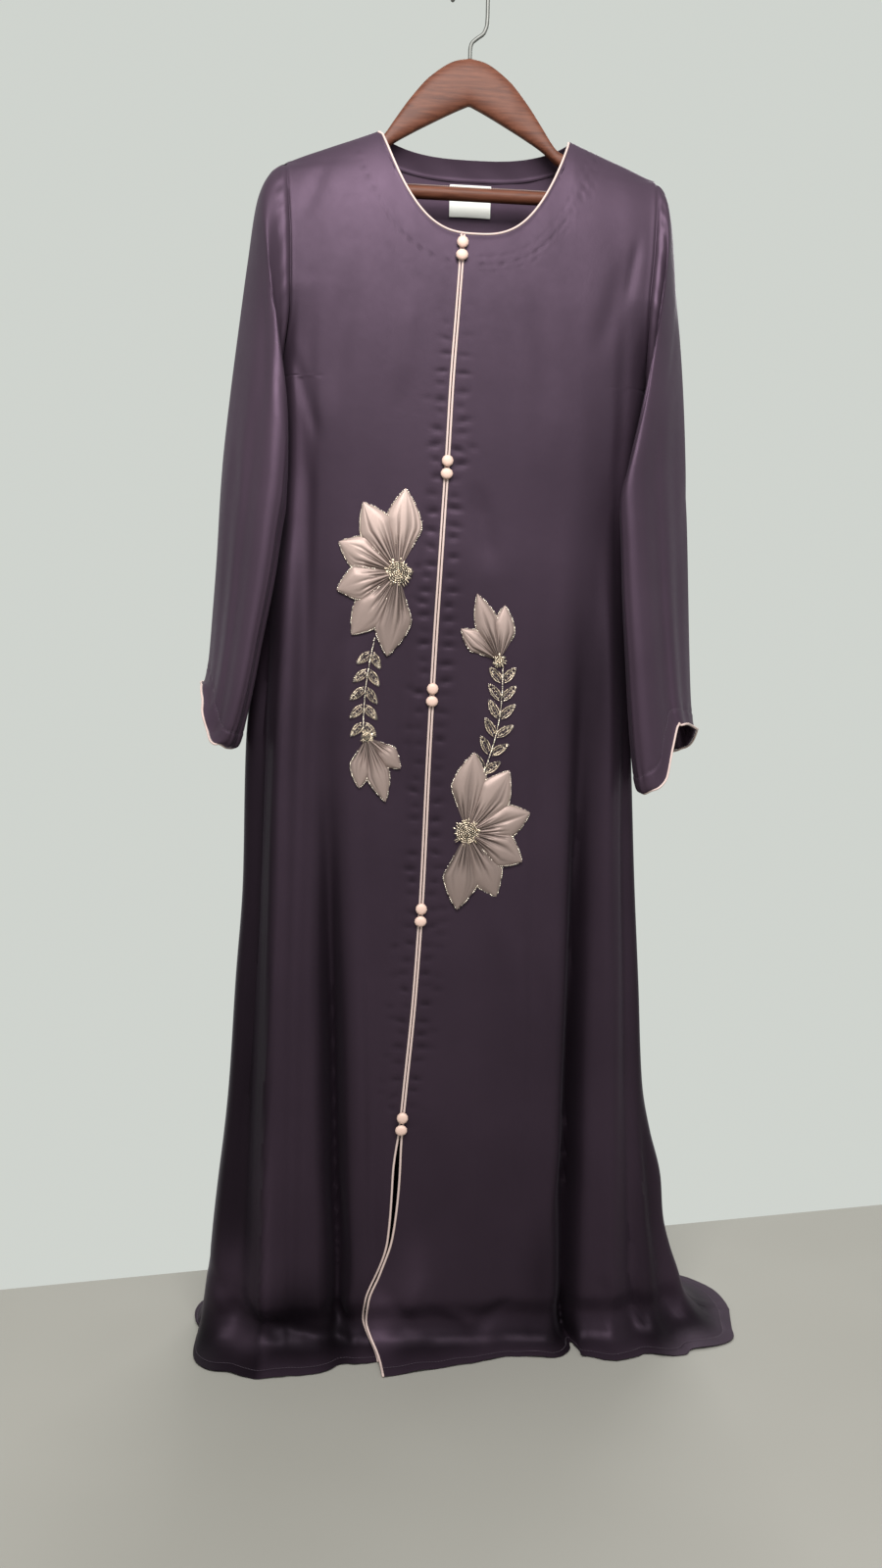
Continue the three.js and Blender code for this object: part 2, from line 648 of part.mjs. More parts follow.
// Piping along the cuffs, just below the rim.
sleeves.forEach((sleeve, n) => {
  const last = sleeve.rows.length - 1;
  const rim = sleeve.rows[last].map((p, i) => {
    const centre = add(p, sleeve.ways[last][i], -WALL / 2);
    const line = sleeve.rows[last];
    const t = unit(sub(line[(i + 1) % line.length], line[(i + line.length - 1) % line.length]));
    const down = sub(p, sleeve.rows[last - 1][i]);
    const away = unit(sub(down, t.map((v) => v * dot(down, t))));
    return add(centre, away, PIPE + CUFF_GAP[n]);
  });
  const outer = [];
  const w = rim.length;
  rim.forEach((p, i) => {
    const t = unit(sub(rim[(i + 1) % w], rim[(i + w - 1) % w]));
    const down = unit(sub(p, sleeve.rows[last - 1][i]));
    const out = unit(cross(t, down));
    const level = unit(cross(out, t));
    const ring = [];
    for (let k = 0; k < 5; k += 1) {
      const angle = (2 * Math.PI * k) / 5;
      ring.push(add(add(p, out, PIPE * Math.cos(angle)), level, PIPE * Math.sin(angle)));
    }
    outer.push(ring);
  });
  const points = outer.flat();
  const faces = [];
  for (let i = 0; i < w; i += 1) {
    for (let k = 0; k < 5; k += 1) {
      const a = i * 5 + k;
      const b = i * 5 + ((k + 1) % 5);
      const c = ((i + 1) % w) * 5 + ((k + 1) % 5);
      const d = ((i + 1) % w) * 5 + k;
      faces.push([a, b, c], [a, c, d]);
    }
  }
  piece(`cuff_piping_${SIDES[n]}`, { points, faces }, BLUSH, 0.5);
});

// Piping down both edges of the front.
[frontLeft, frontRight].forEach((panel, n) => {
  const path = [];
  panel.rows.forEach((row, j) => {
    if (j === 0) return;
    const centre = add(row[0], panel.ways[j][0], -WALL / 2);
    const before = panel.rows[Math.max(j - 1, 0)][0];
    const after = panel.rows[Math.min(j + 1, panel.rows.length - 1)][0];
    const t = unit(sub(after, before));
    const across = sub(row[0], row[1]);
    const out = unit(sub(across, t.map((v) => v * dot(across, t))));
    path.push(add(centre, out, PIPE + (row[0][2] < -1470 ? PIPE_GAP * 3 : PIPE_GAP)));
  });
  path[0] = mix(path[0], path[1], 0.35);
  path[path.length - 1] = mix(path[path.length - 1], path[path.length - 2], 0.1);
  piece(`front_piping_${SIDES[n]}`, tube(path, PIPE, 5), BLUSH, 0.5);
});

// Piping round the front of the neck.
function neckRun(panel) {
  const path = [];
  for (let i = 0; i <= NECK_STEPS; i += 1) {
    const p = panel.rows[0][i];
    const centre = add(p, panel.ways[0][i], -WALL / 2);
    const up = unit(sub(p, panel.rows[1][i]));
    const a = panel.rows[0][Math.max(i - 1, 0)];
    const b = panel.rows[0][Math.min(i + 1, NECK_STEPS)];
    const t = unit(sub(b, a));
    const away = unit(sub(up, t.map((v) => v * dot(up, t))));
    path.push(add(centre, away, PIPE + PIPE_GAP));
  }
  return path;
}
const neckLeft = neckRun(frontLeft).reverse();
const neckRight = neckRun(frontRight);
neckLeft[0] = mix(neckLeft[0], neckLeft[1], 0.12);
neckRight[NECK_STEPS] = mix(neckRight[NECK_STEPS], neckRight[NECK_STEPS - 1], 0.12);
piece('neck_piping', tube([...neckLeft, ...neckRight], PIPE, 6), BLUSH, 0.5);

// Facing inside the back of the neck.
const middleColumn = NECK_STEPS + TIP_STEPS;
const facingColumns = [];
for (let i = 2 - NECK_STEPS; i <= NECK_STEPS - 2; i += 1) facingColumns.push(middleColumn + i);
const facing = [0, 1, 2].map((j) => facingColumns.map((i) => add(back.rows[j][i],
  back.ways[j][i], -(WALL + FACING_GAP))));
const facingWays = [0, 1, 2].map((j) => facingColumns.map((i) => back.ways[j][i]));
piece('back_neck_facing', wall(facing, inset(facing, facingWays, FACING_THICK)), SATIN, 0.45);

// Depth of a panel's facets at a place seen from the front.
function surfaceY(rows, x, z) {
  let best = null;
  for (let j = 0; j < rows.length - 1; j += 1) {
    for (let i = 0; i < rows[0].length - 1; i += 1) {
      const q = [rows[j][i], rows[j + 1][i], rows[j + 1][i + 1], rows[j][i + 1]];
      for (const [a, b, c] of [[q[0], q[1], q[2]], [q[0], q[2], q[3]]]) {
        const area = (b[0] - a[0]) * (c[2] - a[2]) - (c[0] - a[0]) * (b[2] - a[2]);
        if (Math.abs(area) < 1e-6) continue;
        const u = ((x - a[0]) * (c[2] - a[2]) - (c[0] - a[0]) * (z - a[2])) / area;
        const v = ((b[0] - a[0]) * (z - a[2]) - (x - a[0]) * (b[2] - a[2])) / area;
        if (u < -1e-6 || v < -1e-6 || u + v > 1 + 1e-6) continue;
        const y = a[1] + (b[1] - a[1]) * u + (c[1] - a[1]) * v;
        if (best === null || y < best) best = y;
      }
    }
  }
  return best;
}

// Plain woven label below the facing.
const backInner = inset(back.rows, back.ways, WALL);
const LABEL = { x: 6, half: 23, top: -224.5, low: -261, thick: 0.8 };
const labelRows = [];
for (let j = 0; j <= 3; j += 1) {
  const row = [];
  for (let i = 0; i <= 4; i += 1) {
    const x = LABEL.x + LABEL.half * (i / 2 - 1);
    const z = LABEL.top + ((LABEL.low - LABEL.top) * j) / 3;
    row.push([x, surfaceY(backInner, x, z) - LIFT - 0.3, z]);
  }
  labelRows.push(row);
}
piece('neck_label', wall(labelRows.map((r) => r.map((p) => add(p, [0, -LABEL.thick, 0]))),
  labelRows), WHITE, 0.8);

// Covered buttons in pairs down the closing line.
function dome(x, y, z, radius, deep, sides, rings) {
  const points = [[x, y - deep, z]];
  const faces = [];
  for (let k = 1; k < rings; k += 1) {
    const angle = (Math.PI * k) / rings;
    for (let i = 0; i < sides; i += 1) {
      const turn = (2 * Math.PI * i) / sides;
      points.push([x + radius * Math.sin(angle) * Math.cos(turn), y - deep * Math.cos(angle),
        z + radius * Math.sin(angle) * Math.sin(turn)]);
    }
  }
  points.push([x, y + deep, z]);
  const end = points.length - 1;
  for (let i = 0; i < sides; i += 1) {
    const j = (i + 1) % sides;
    faces.push([0, 1 + i, 1 + j]);
    for (let k = 1; k < rings - 1; k += 1) {
      const a = 1 + (k - 1) * sides;
      const b = a + sides;
      faces.push([a + i, b + i, b + j], [a + i, b + j, a + j]);
    }
    const a = 1 + (rings - 2) * sides;
    faces.push([end, a + j, a + i]);
  }
  return { points, faces };
}

BUTTON_PAIRS.forEach((middle, n) => {
  [1, -1].forEach((k, m) => {
    const z = middle + k * BUTTON_STEP;
    const drop = -z;
    const left = bodyPoint(-1, -1, 0, drop);
    const right = bodyPoint(-1, 1, 0, drop);
    const y = Math.min(left[1], right[1]) - 0.8 - BUTTON_DEEP;
    const name = `button_${n + 1}_${m === 0 ? 'upper' : 'lower'}`;
    piece(name, dome((left[0] + right[0]) / 2, y, z, BUTTON, BUTTON_DEEP, 10, 5), BLUSH, 0.5);
  });
});

// Petals: a raised leaf of cloth on the panel, from the flower's middle to its tip.
const PANEL_ROWS = { '-1': frontLeft.rows, 1: frontRight.rows };
function petal(flower, n) {
  const rows = PANEL_ROWS[flower.side];
  const a = (flower.at[n] * Math.PI) / 180;
  const axis = [Math.cos(a), Math.sin(a)];
  const start = flower.eye + 0.7;
  const long = flower.long[n];
  const gap = (m) => (flower.at[m] === undefined ? 40 : Math.abs(flower.at[m] - flower.at[n]));
  const rising = flower.at[1] > flower.at[0] ? 1 : -1;
  const lean = [gap(n - rising), gap(n + rising)]
    .map((turn) => Math.tan((Math.min(turn, 40) / 2 - 0.6) * (Math.PI / 180)));
  const under = [];
  const over = [];
  const steps = 5;
  for (let j = 0; j <= steps; j += 1) {
    const s = j / steps;
    const r = start + (long - start) * s;
    const leaf = flower.half * Math.max(Math.sin(Math.PI * s ** 0.8), 0) ** 0.75 + 0.5;
    const halves = lean.map((k) => (j === 0 ? r * k - 0.4 : Math.min(r * k - 0.4, leaf)));
    const low = [];
    const high = [];
    for (let i = 0; i <= 4; i += 1) {
      const t = i / 2 - 1;
      const half = halves[t < 0 ? 0 : 1];
      const x = flower.x + axis[0] * r - axis[1] * half * t;
      const z = flower.z + axis[1] * r + axis[0] * half * t;
      const y = surfaceY(rows, x, z) - LIFT;
      const puff = 3.4 * (1 - t * t) * Math.sin(Math.PI * (0.16 + 0.74 * s));
      const dip = i === 2 ? 0.9 * (1 - s) : 0;
      low.push([x, y, z]);
      high.push([x, y - PETAL_EDGE - puff + dip, z]);
    }
    under.push(low);
    over.push(high);
  }
  return wall(over, under);
}

FLOWERS.forEach((flower) => {
  flower.at.forEach((_, k) => {
    piece(`petal_${flower.name}_${k + 1}`, petal(flower, k), PETAL, 0.5);
  });
  const rows = PANEL_ROWS[flower.side];
  const deep = flower.eye > 8 ? 2.6 : 2;
  let y = 0;
  for (let k = 0; k < 12; k += 1) {
    const turn = (Math.PI * k) / 6;
    const x = flower.x + flower.eye * Math.cos(turn);
    y = Math.min(y, surfaceY(rows, x, flower.z + flower.eye * Math.sin(turn)));
  }
  piece(`flower_middle_${flower.name}`, dome(flower.x, y - LIFT - deep, flower.z, flower.eye,
    deep, 12, 5), BEAD, 0.35, 0.6);
});

// Leaf sprays: one outline of stem and leaves, laid on the panel.
SPRAYS.forEach((spray) => {
  const rows = PANEL_ROWS[spray.side];
  const stem = (t) => [spray.x0 + (spray.x1 - spray.x0) * t + spray.bow * Math.sin(Math.PI * t),
    spray.z0 + (spray.z1 - spray.z0) * t];
  const right = [];
  const left = [];
  for (let k = 0; k < spray.pairs; k += 1) {
    const t = (k + 0.75) / (spray.pairs + 0.2);
    const grow = 0.86 + 0.14 * Math.sin((Math.PI * (k + 0.5)) / spray.pairs);
    const [x, z] = stem(t);
    [1, -1].forEach((k2) => {
      const a = (LEAF_TURN * Math.PI) / 180;
      const dir = [k2 * Math.sin(a), spray.up * Math.cos(a)];
      const across = [-dir[1], dir[0]];
      const long = spray.long * grow;
      const base = [x + k2 * 0.9, z];
      const leaf = [
        [base[0] + dir[0] * 1.2 - across[0] * 0.9, base[1] + dir[1] * 1.2 - across[1] * 0.9],
        [base[0] + dir[0] * long * 0.5 - across[0] * spray.half,
          base[1] + dir[1] * long * 0.5 - across[1] * spray.half],
        [base[0] + dir[0] * long, base[1] + dir[1] * long],
        [base[0] + dir[0] * long * 0.5 + across[0] * spray.half,
          base[1] + dir[1] * long * 0.5 + across[1] * spray.half],
        [base[0] + dir[0] * 1.2 + across[0] * 0.9, base[1] + dir[1] * 1.2 + across[1] * 0.9],
      ];
      const sorted = leaf[0][1] > leaf[4][1] ? leaf : leaf.reverse();
      (k2 > 0 ? right : left).push(...sorted);
    });
  }
  const [ax, az] = stem(0);
  const [bx, bz] = stem(1);
  const outline = [[ax - 0.9, az], [ax + 0.9, az], ...right, [bx + 0.9, bz], [bx - 0.9, bz],
    ...left.reverse()];
  const flat = outline.map(([x, z]) => new THREE.Vector2(x, z));
  const cut = THREE.ShapeUtils.triangulateShape(flat, []);
  const n = outline.length;
  const points = [];
  outline.forEach(([x, z]) => points.push([x, surfaceY(rows, x, z) - LIFT, z]));
  outline.forEach(([x, z]) => points.push([x, surfaceY(rows, x, z) - LIFT - LEAF_THICK, z]));
  const faces = [];
  const clockwise = THREE.ShapeUtils.isClockWise(flat);
  cut.forEach(([a, b, c]) => {
    faces.push([a, b, c], [n + a, n + c, n + b]);
  });
  for (let i = 0; i < n; i += 1) {
    const j = (i + 1) % n;
    if (clockwise) faces.push([i, j, n + j], [i, n + j, n + i]);
    else faces.push([j, i, n + i], [j, n + i, n + j]);
  }
  piece(`leaf_spray_${spray.name}`, { points, faces }, BEAD, 0.35, 0.6);
});

// Hanger: wooden arms, trouser bar and steel hook.
const armStations = [-197, -188, -150, -112, -98, -90, -82, -62, -42, -20, 0, 20, 42, 62, 82,
  90, 98, 112, 150, 188, 197];
const armRings = armStations.map((x) => {
  const a = ARMS(Math.abs(x));
  const ring = [];
  for (let k = 0; k < 10; k += 1) {
    const angle = (2 * Math.PI * k) / 10 + Math.PI / 2;
    ring.push([x, a.half * Math.cos(angle),
      (a.top + a.bottom) / 2 + ((a.top - a.bottom) / 2) * Math.sin(angle)]);
  }
  return ring;
});
const armPoints = armRings.flat();
const armFaces = [];
for (let j = 0; j < armRings.length - 1; j += 1) {
  for (let k = 0; k < 10; k += 1) {
    const a = j * 10 + k;
    const b = j * 10 + ((k + 1) % 10);
    armFaces.push([a, b, b + 10], [a, b + 10, a + 10]);
  }
}
for (let k = 1; k < 9; k += 1) {
  const e = (armRings.length - 1) * 10;
  armFaces.push([0, k + 1, k], [e, e + k, e + k + 1]);
}
piece('hanger_arms', { points: armPoints, faces: armFaces }, WOOD, 0.4);

const barPath = [-BAR_HALF, -BAR_HALF / 2, 0, BAR_HALF / 2, BAR_HALF].map((x) => [x, 0, BAR_Z]);
piece('hanger_bar', tube(barPath, BAR_RADIUS, 12), WOOD, 0.4);

const bend = HOOK_BEND + HOOK_WIRE;
const hookPath = [[0, 0, -96.5], [0, 0, -86], [1.5, 0, -80], [8, 0, -74.5], [14.5, 0, -70],
  [bend - 0.6, 0, -62], [bend, 0, -52], [bend, 0, -34]];
for (let k = 0; k <= 12; k += 1) {
  const a = (Math.PI * k) / 12;
  hookPath.push([bend * Math.cos(a), 0, -HOOK_BEND + bend * Math.sin(a)]);
}
hookPath.push([-bend - 0.4, 0, -26], [-bend - 1.2, 0, -33], [-bend - 1.6, 0, -36],
  [-bend - 1.9, 0, -38.5]);
const hookRadii = hookPath.map((p, k) => {
  const left = hookPath.length - 1 - k;
  return left === 0 ? 1.6 : left < 3 ? 2.9 : HOOK_WIRE;
});
piece('hanger_hook', tube(hookPath, HOOK_WIRE, 8, hookRadii), STEEL, 0.3, 0.9);

export default root;
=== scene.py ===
"""Looks of a satin abaya on its wooden hanger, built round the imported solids.

Sizes are in millimetres in the tables and become metres when a mesh is made.
"""

import math

import bpy
import numpy as np
from mathutils import Matrix, Vector


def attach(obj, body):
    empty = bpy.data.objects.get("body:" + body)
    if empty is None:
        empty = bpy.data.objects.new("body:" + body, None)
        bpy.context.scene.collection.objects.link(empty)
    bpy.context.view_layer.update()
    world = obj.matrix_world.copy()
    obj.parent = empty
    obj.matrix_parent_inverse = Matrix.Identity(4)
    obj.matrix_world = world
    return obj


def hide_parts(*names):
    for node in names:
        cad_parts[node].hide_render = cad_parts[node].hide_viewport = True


MM = 0.001
rng = np.random.default_rng(17)

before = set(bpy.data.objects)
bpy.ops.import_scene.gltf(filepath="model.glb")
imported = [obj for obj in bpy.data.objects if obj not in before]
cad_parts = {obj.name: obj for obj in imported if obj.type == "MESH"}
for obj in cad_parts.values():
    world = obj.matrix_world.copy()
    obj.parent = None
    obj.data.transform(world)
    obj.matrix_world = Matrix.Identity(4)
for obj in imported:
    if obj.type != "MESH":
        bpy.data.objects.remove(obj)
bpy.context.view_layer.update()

# Sizes shared with the solids: the seams, the neck, the shoulders, the armholes, the piping,
# the buttons, the lift of what is sewn on, and drops along the cloth near the hem
SEAM = 0.2
SEAM_CALM = 14
NECK_MID = 7
NECK_HALF = 105
NECK_TOP = -179
NECK_FRONT = 116
NECK_BACK = 17
NECK_POWER = 2.8
SHOULDER_FALL = 0.38
SHOULDER_SOFT = 85
UNDERARM = 450
ARM_DEEP = 38
PIPE = 1.25
PIPE_GAP = 0.25
BUTTON = 6.2
BUTTON_DEEP = 3.2
BUTTON_STEP = 6.8
BUTTON_PAIRS = (-310.5, -541.5, -785.5, -1026, -1258.5)
LIFT = 0.45
LINE_END = 1518
BREAK_DROP = 1480
HEM_LINE = 1539
FLOOR_Z = -1518.5

# The cloth as it is drawn here: thickness, rows from the top to the underarm, stitch line of the
# cuffs; share by which the left front's folds fade near the hem, and the drops and places across
# between which they do
CLOTH = 0.9
FAN_ROWS = 96
CUFF_LINE = 20
HEM_CALM = 0.65
CALM_DROPS = (1440, 1510)
CALM_ACROSS = (-122, -106)

# Painted light on the sleeves, drawn lighter than the panels; share of painted shade in the small
# dents; and a painted dark band where the cloth breaks over the floor: its strength, middle and
# half height
SLEEVE_PAINTED_LIGHT = 1.14
DENT_PAINTED_SHADE = 0.24
BAND_PAINTED_SHADE = 0.66
BAND_DROP = 1510
BAND_HALF = 24

# Words for the viewer's sides, by the sign of the place across
SIDES = {-1: "left", 1: "right"}


def smooth(a, b, x):
    """Goes softly from 0 at a to 1 at b."""
    t = np.clip((np.asarray(x, float) - a) / (b - a), 0, 1)
    return t * t * (3 - 2 * t)


def bell(x, half):
    """1 at 0, dying out softly to both sides."""
    return np.exp(-(x / half) ** 2)


def unit(v):
    """The same directions, one long."""
    return v / np.maximum(np.linalg.norm(v, axis=-1, keepdims=True), 1e-9)


def run_along(points, axis=0):
    """Way from the first point to each along the points."""
    run = np.cumsum(np.linalg.norm(np.diff(points, axis=axis), axis=-1), axis=axis)
    return np.concatenate([np.zeros_like(np.take(run, [0], axis=axis)), run], axis=axis)


def turns(count):
    """Angles spread evenly round a ring."""
    return 2 * math.pi * np.arange(count) / count


def together(*parts):
    """Points from their coordinates, each given for the rows, the columns or both."""
    return np.stack(np.broadcast_arrays(*parts), axis=-1)


def own(rows, *key):
    """The rest of each row that starts with the key."""
    return [row[len(key):] for row in rows if row[:len(key)] == key]


def rounded(c, power):
    """A sine or cosine made into that of a squared oval."""
    return np.sign(c) * np.abs(c) ** (2 / power)


def table(names, rows):
    """Reads rows smoothly: each starts with its place, and the columns are named."""
    rows = np.array(rows, float)
    at, values = rows[:, 0], rows[:, 1:]
    step = np.diff(values, axis=0) / np.diff(at)[:, None]
    slope = np.zeros_like(values)
    a, b = step[:-1], step[1:]
    total = np.where(a + b == 0, 1, a + b)
    slope[1:-1] = np.where(a * b > 0, 2 * a * b / total, 0)
    slope[0], slope[-1] = step[0], step[-1]

    def read(place):
        p = np.clip(np.asarray(place, float), at[0], at[-1])
        i = np.clip(np.searchsorted(at, p, side="left") - 1, 0, len(at) - 2)
        h = at[i + 1] - at[i]
        t = (p - at[i]) / h
        out = {}
        for c, name in enumerate(names):
            start = values[i, c] * (1 + 2 * t) + slope[i, c] * h * t
            end = values[i + 1, c] * (3 - 2 * t) - slope[i + 1, c] * h * (1 - t)
            out[name] = start * (1 - t) ** 2 + end * t * t
        return out

    return read


# Body by drop: side seams, closing line, middle of the back, depths, the side seam's depth
BODY = table(["left", "right", "edge", "spine", "front", "back", "seam"], [
    [150, -199, 209, -5, 7, 46, 41, 0],
    [218, -197, 208, -6, 7, 46, 42, 0],
    [300, -192, 204, -8, 6, 46, 44, 0],
    [370, -191, 199, -12, 5, 47, 46, 0],
    [450, -199, 199, -17, 3, 47, 47, 0],
    [520, -195, 190, -20, 2, 48, 49, 3],
    [600, -198, 184, -24, 0, 49, 52, 4],
    [660, -208, 186, -27, -2, 50, 54, 5],
    [720, -221, 192, -30, -4, 50, 56, 6],
    [845, -235, 200, -35, -8, 51, 60, 8],
    [1000, -238, 209, -40, -10, 54, 66, 10],
    [1111, -245, 217, -46, -12, 56, 70, 10],
    [1230, -252, 226, -56, -12, 58, 75, 10],
    [1290, -257, 237, -61, -12, 60, 77, 10],
    [1345, -263, 251, -64, -11, 61, 80, 10],
    [1390, -268, 256, -69, -10, 62, 82, 10],
    [1430, -272, 266, -82, -8, 64, 84, 9],
    [1460, -276, 276, -94, -6, 65, 86, 8],
    [1485, -279, 284, -96, -4, 58, 87, 6],
    [1500, -281, 292, -91, -2, 60, 88, 5],
    [1518, -283, 300, -78, 0, 60, 88, 5],
])

# Closing by drop: how far each front's edge stands off its line, and the left one lies behind
EDGE = table(["left", "right", "behind"], [
    [300, 3.1, 3.1, 0],
    [1262, 3.1, 3.1, 0],
    [1318, 6.2, 4.4, 0],
    [1375, 5, 3.8, 0],
    [1425, 3.1, 3.1, 0.5],
    [1475, 3.1, 3.1, 3],
    [1560, 3.1, 3.1, 2],
])

# Squareness of the body's sections by drop
ROUND = table(["power"], [[180, 5.5], [450, 5.5], [560, 4.2], [700, 3.6], [1500, 3.4]])

# How the cloth breaks over the floor, by drop: its height, and the share of its full reach
BREAK = table(["z", "share"], [
    [0, 0, 0],
    [1480, -1480, 0],
    [1492, -1491.5, 0.02],
    [1504, -1502, 0.12],
    [1517, -1510, 0.34],
    [1536, -1514.5, 0.68],
    [1556, -1516.4, 1],
])

# Reach of the hem over the floor, by share across each half panel
REACH = table(["frontleft", "frontright", "backleft", "backright"], [
    [0, 31, 58, 40, 40],
    [0.15, 38, 42, 44, 38],
    [0.3, 48, 28, 38, 42],
    [0.5, 54, 30, 46, 48],
    [0.7, 55, 42, 38, 50],
    [0.85, 48, 54, 20, 50],
    [1, 4, 46, 4, 46],
])

# Folds: face, side, place across at the start and at the hem, half width, depth inwards,
# drops where they start and are full. These are the solids' own large folds.
FOLDS = [
    (-1, -1, -188, -208, 22, -9, 520, 860),
    (-1, -1, -152, -126, 25, 17, 680, 1230),
    (-1, -1, -80, -96, 22, 5, 980, 1380),
    (-1, 1, 162, 182, 19, -9, 560, 820),
    (-1, 1, 140, 134, 20, 20, 620, 1200),
    (-1, 1, 52, 64, 26, 4, 900, 1350),
    (-1, 1, 216, 262, 26, 12, 1120, 1400),
    (1, -1, -158, -186, 26, 18, 520, 1150),
    (1, -1, -62, -84, 28, 20, 420, 1200),
    (1, -1, -112, -136, 24, -8, 560, 1200),
    (1, 1, 40, 52, 30, 22, 480, 1200),
    (1, 1, 92, 112, 24, -8, 560, 1150),
    (1, 1, 142, 172, 27, 18, 560, 1200),
]

# Finer folds of the cloth, in the same columns
FINE_FOLDS = [
    (-1, -1, -218, -244, 22, 15, 540, 860),
    (-1, -1, -192, -211, 8, -3.5, 560, 900),
    (-1, -1, -150, -124, 14, 12, 760, 1250),
    (-1, -1, -171, -170, 12, -2.5, 760, 1250),
    (-1, -1, -118, -92, 11, -3, 820, 1330),
    (-1, -1, -186, -188, 10, -2.5, 300, 560),
    (-1, -1, -168, -176, 12, 2.5, 330, 600),
    (-1, -1, -60, -66, 12, 1.6, 470, 900),
    (-1, 1, 137, 131, 13, 11, 700, 1200),
    (-1, 1, 112, 108, 13, -3, 720, 1250),
    (-1, 1, 186, 214, 15, 9, 620, 1000),
    (-1, 1, 88, 84, 12, 2.2, 640, 1150),
    (-1, 1, 30, 22, 14, -1.6, 900, 1350),
    (-1, 1, 170, 176, 11, 2.5, 300, 620),
    (1, -1, -30, -42, 14, -4, 600, 1150),
    (1, -1, -190, -224, 16, -5, 640, 1150),
    (1, -1, -88, -110, 12, 4, 700, 1250),
    (1, 1, 14, 16, 13, -3, 700, 1250),
    (1, 1, 66, 82, 12, 4, 640, 1180),
    (1, 1, 118, 142, 12, 4, 700, 1200),
    (1, 1, 176, 216, 15, -5, 660, 1180),
]

# Sleeves by share of their length: outer and inner line, depth in front and behind, and how
# far the front leans towards the body and the back away from it
SLEEVE_NAMES = ["ox", "oz", "ix", "iz", "front", "back", "towards", "away"]
SLEEVE = {
    -1: table(SLEEVE_NAMES, [
        [0, -197, -218.5, -199, -450, 38, 38, 0, 0],
        [0.04, -213, -229, -204, -461, 43, 40, 2, 0],
        [0.12, -227, -256, -205, -474, 52, 42, 8, 2],
        [0.22, -237, -320, -206, -495, 62, 43, 20, 5],
        [0.34, -246, -392, -206, -522, 69, 44, 28, 8],
        [0.46, -254, -462, -206, -553, 75, 45, 30, 10],
        [0.58, -261, -535, -207, -590, 76, 46, 30, 12],
        [0.68, -266, -605, -214, -635, 76, 46, 27, 12],
        [0.78, -271, -675, -229, -690, 74, 46, 20, 14],
        [0.88, -276, -735, -240, -755, 70, 45, 12, 14],
        [1, -283, -790, -245, -820, 64, 42, 3, 8],
    ]),
    1: table(SLEEVE_NAMES, [
        [0, 207, -217, 199, -450, 38, 38, 0, 0],
        [0.04, 217, -227, 205, -461, 43, 40, 2, 0],
        [0.12, 228, -258, 206, -475, 52, 42, 10, 2],
        [0.22, 237, -325, 206, -497, 62, 43, 24, 5],
        [0.34, 245, -395, 206, -524, 68, 44, 36, 8],
        [0.46, 251, -465, 204, -555, 73, 45, 46, 10],
        [0.58, 256, -540, 201, -592, 76, 46, 54, 12],
        [0.68, 261, -612, 202, -640, 77, 46, 51, 12],
        [0.78, 267, -690, 206, -700, 77, 46, 44, 12],
        [0.88, 272, -755, 212, -775, 76, 45, 39, 11],
        [1, 277, -812, 219, -850, 74, 42, 36, 9],
    ]),
}

# Height of the cuffs' rims by degrees round the sleeve
RIM = table(["left", "right"], [
    [0, -779, -819],
    [30, -806, -812],
    [50, -826, -813],
    [64, -833, -838],
    [75, -838, -872],
    [95, -842, -884],
    [120, -846, -889],
    [150, -846, -887],
    [180, -838, -868],
    [225, -816, -852],
    [270, -792, -847],
    [315, -775, -839],
    [360, -779, -819],
])

# Folds of the sleeves: side, angle, half width, depth inwards, shares where full
SLEEVE_FOLDS = [
    (-1, 54, 22, 8, 0.2, 0.7),
    (-1, 126, 20, 7, 0.35, 0.75),
    (-1, 270, 24, 8, 0.3, 0.8),
    (1, 54, 22, 11, 0.25, 0.85),
    (1, 234, 24, 8, 0.3, 0.8),
    (-1, 88, 16, -2.5, 0.3, 0.7),
    (-1, 20, 14, 2.2, 0.35, 0.8),
    (-1, 215, 20, 3, 0.3, 0.7),
    (1, 90, 18, -3, 0.3, 0.75),
    (1, 20, 13, 2, 0.3, 0.8),
    (1, 128, 15, 3, 0.3, 0.75),
    (1, 290, 18, 3, 0.35, 0.8),
]

# Flowers: middle, angles and lengths of the petals, half width, radius of the middle, and a
# factor of painted shade, lower on the right flowers
FLOWERS = [
    ("left_upper", -72, -655, (84, 115, 151, 195, 236, 265), (90, 83, 71, 68, 83, 90), 18, 12.5, 0.98),
    ("left_lower", -103, -832, (-42, -72, -99), (50, 73, 56), 11.5, 6, 1.02),
    ("right_upper", 40, -747, (140, 110, 83), (54, 76, 60), 11.5, 6, 0.8),
    ("right_lower", 8, -935, (88, 54, 16, -24, -62, -95), (88, 82, 73, 69, 78, 85), 18, 12.5, 0.8),
]

# Leaf sprays: ends of the stem, its bow, pairs, way up, length and half width of a leaf
SPRAYS = [
    ("left", (-96, -726), (-107, -825), -3, 5, -1, 19, 4.2),
    ("right", (44, -756), (22, -878), 7, 6, 1, 21, 4.3),
]
LEAF_TURN = 41

# Hanger's arms by distance from the middle, their half length and the columns and sides of
# their grid, then its bar, grip strip and hook
ARMS = table(["top", "bottom", "half"], [
    [0, -97, -146, 8],
    [15, -100, -153, 8],
    [42, -117, -167, 8],
    [62, -139, -178, 7],
    [82, -167, -190, 6.4],
    [90, -179, -196.5, 6.2],
    [98, -188.5, -203, 6.2],
    [112, -195, -211, 6.4],
    [150, -207, -232, 6.6],
    [188, -221, -232, 6],
    [197, -225, -231, 3],
])
ARMS_HALF = 197
ARMS_GRID = (150, 40)
BAR_Z = -239.5
BAR_HALF = 186
BAR_RADIUS = 7
GRIP_HALF = 150
HOOK_WIRE = 2.1
HOOK_BEND = 16.2
BEND = HOOK_BEND + HOOK_WIRE
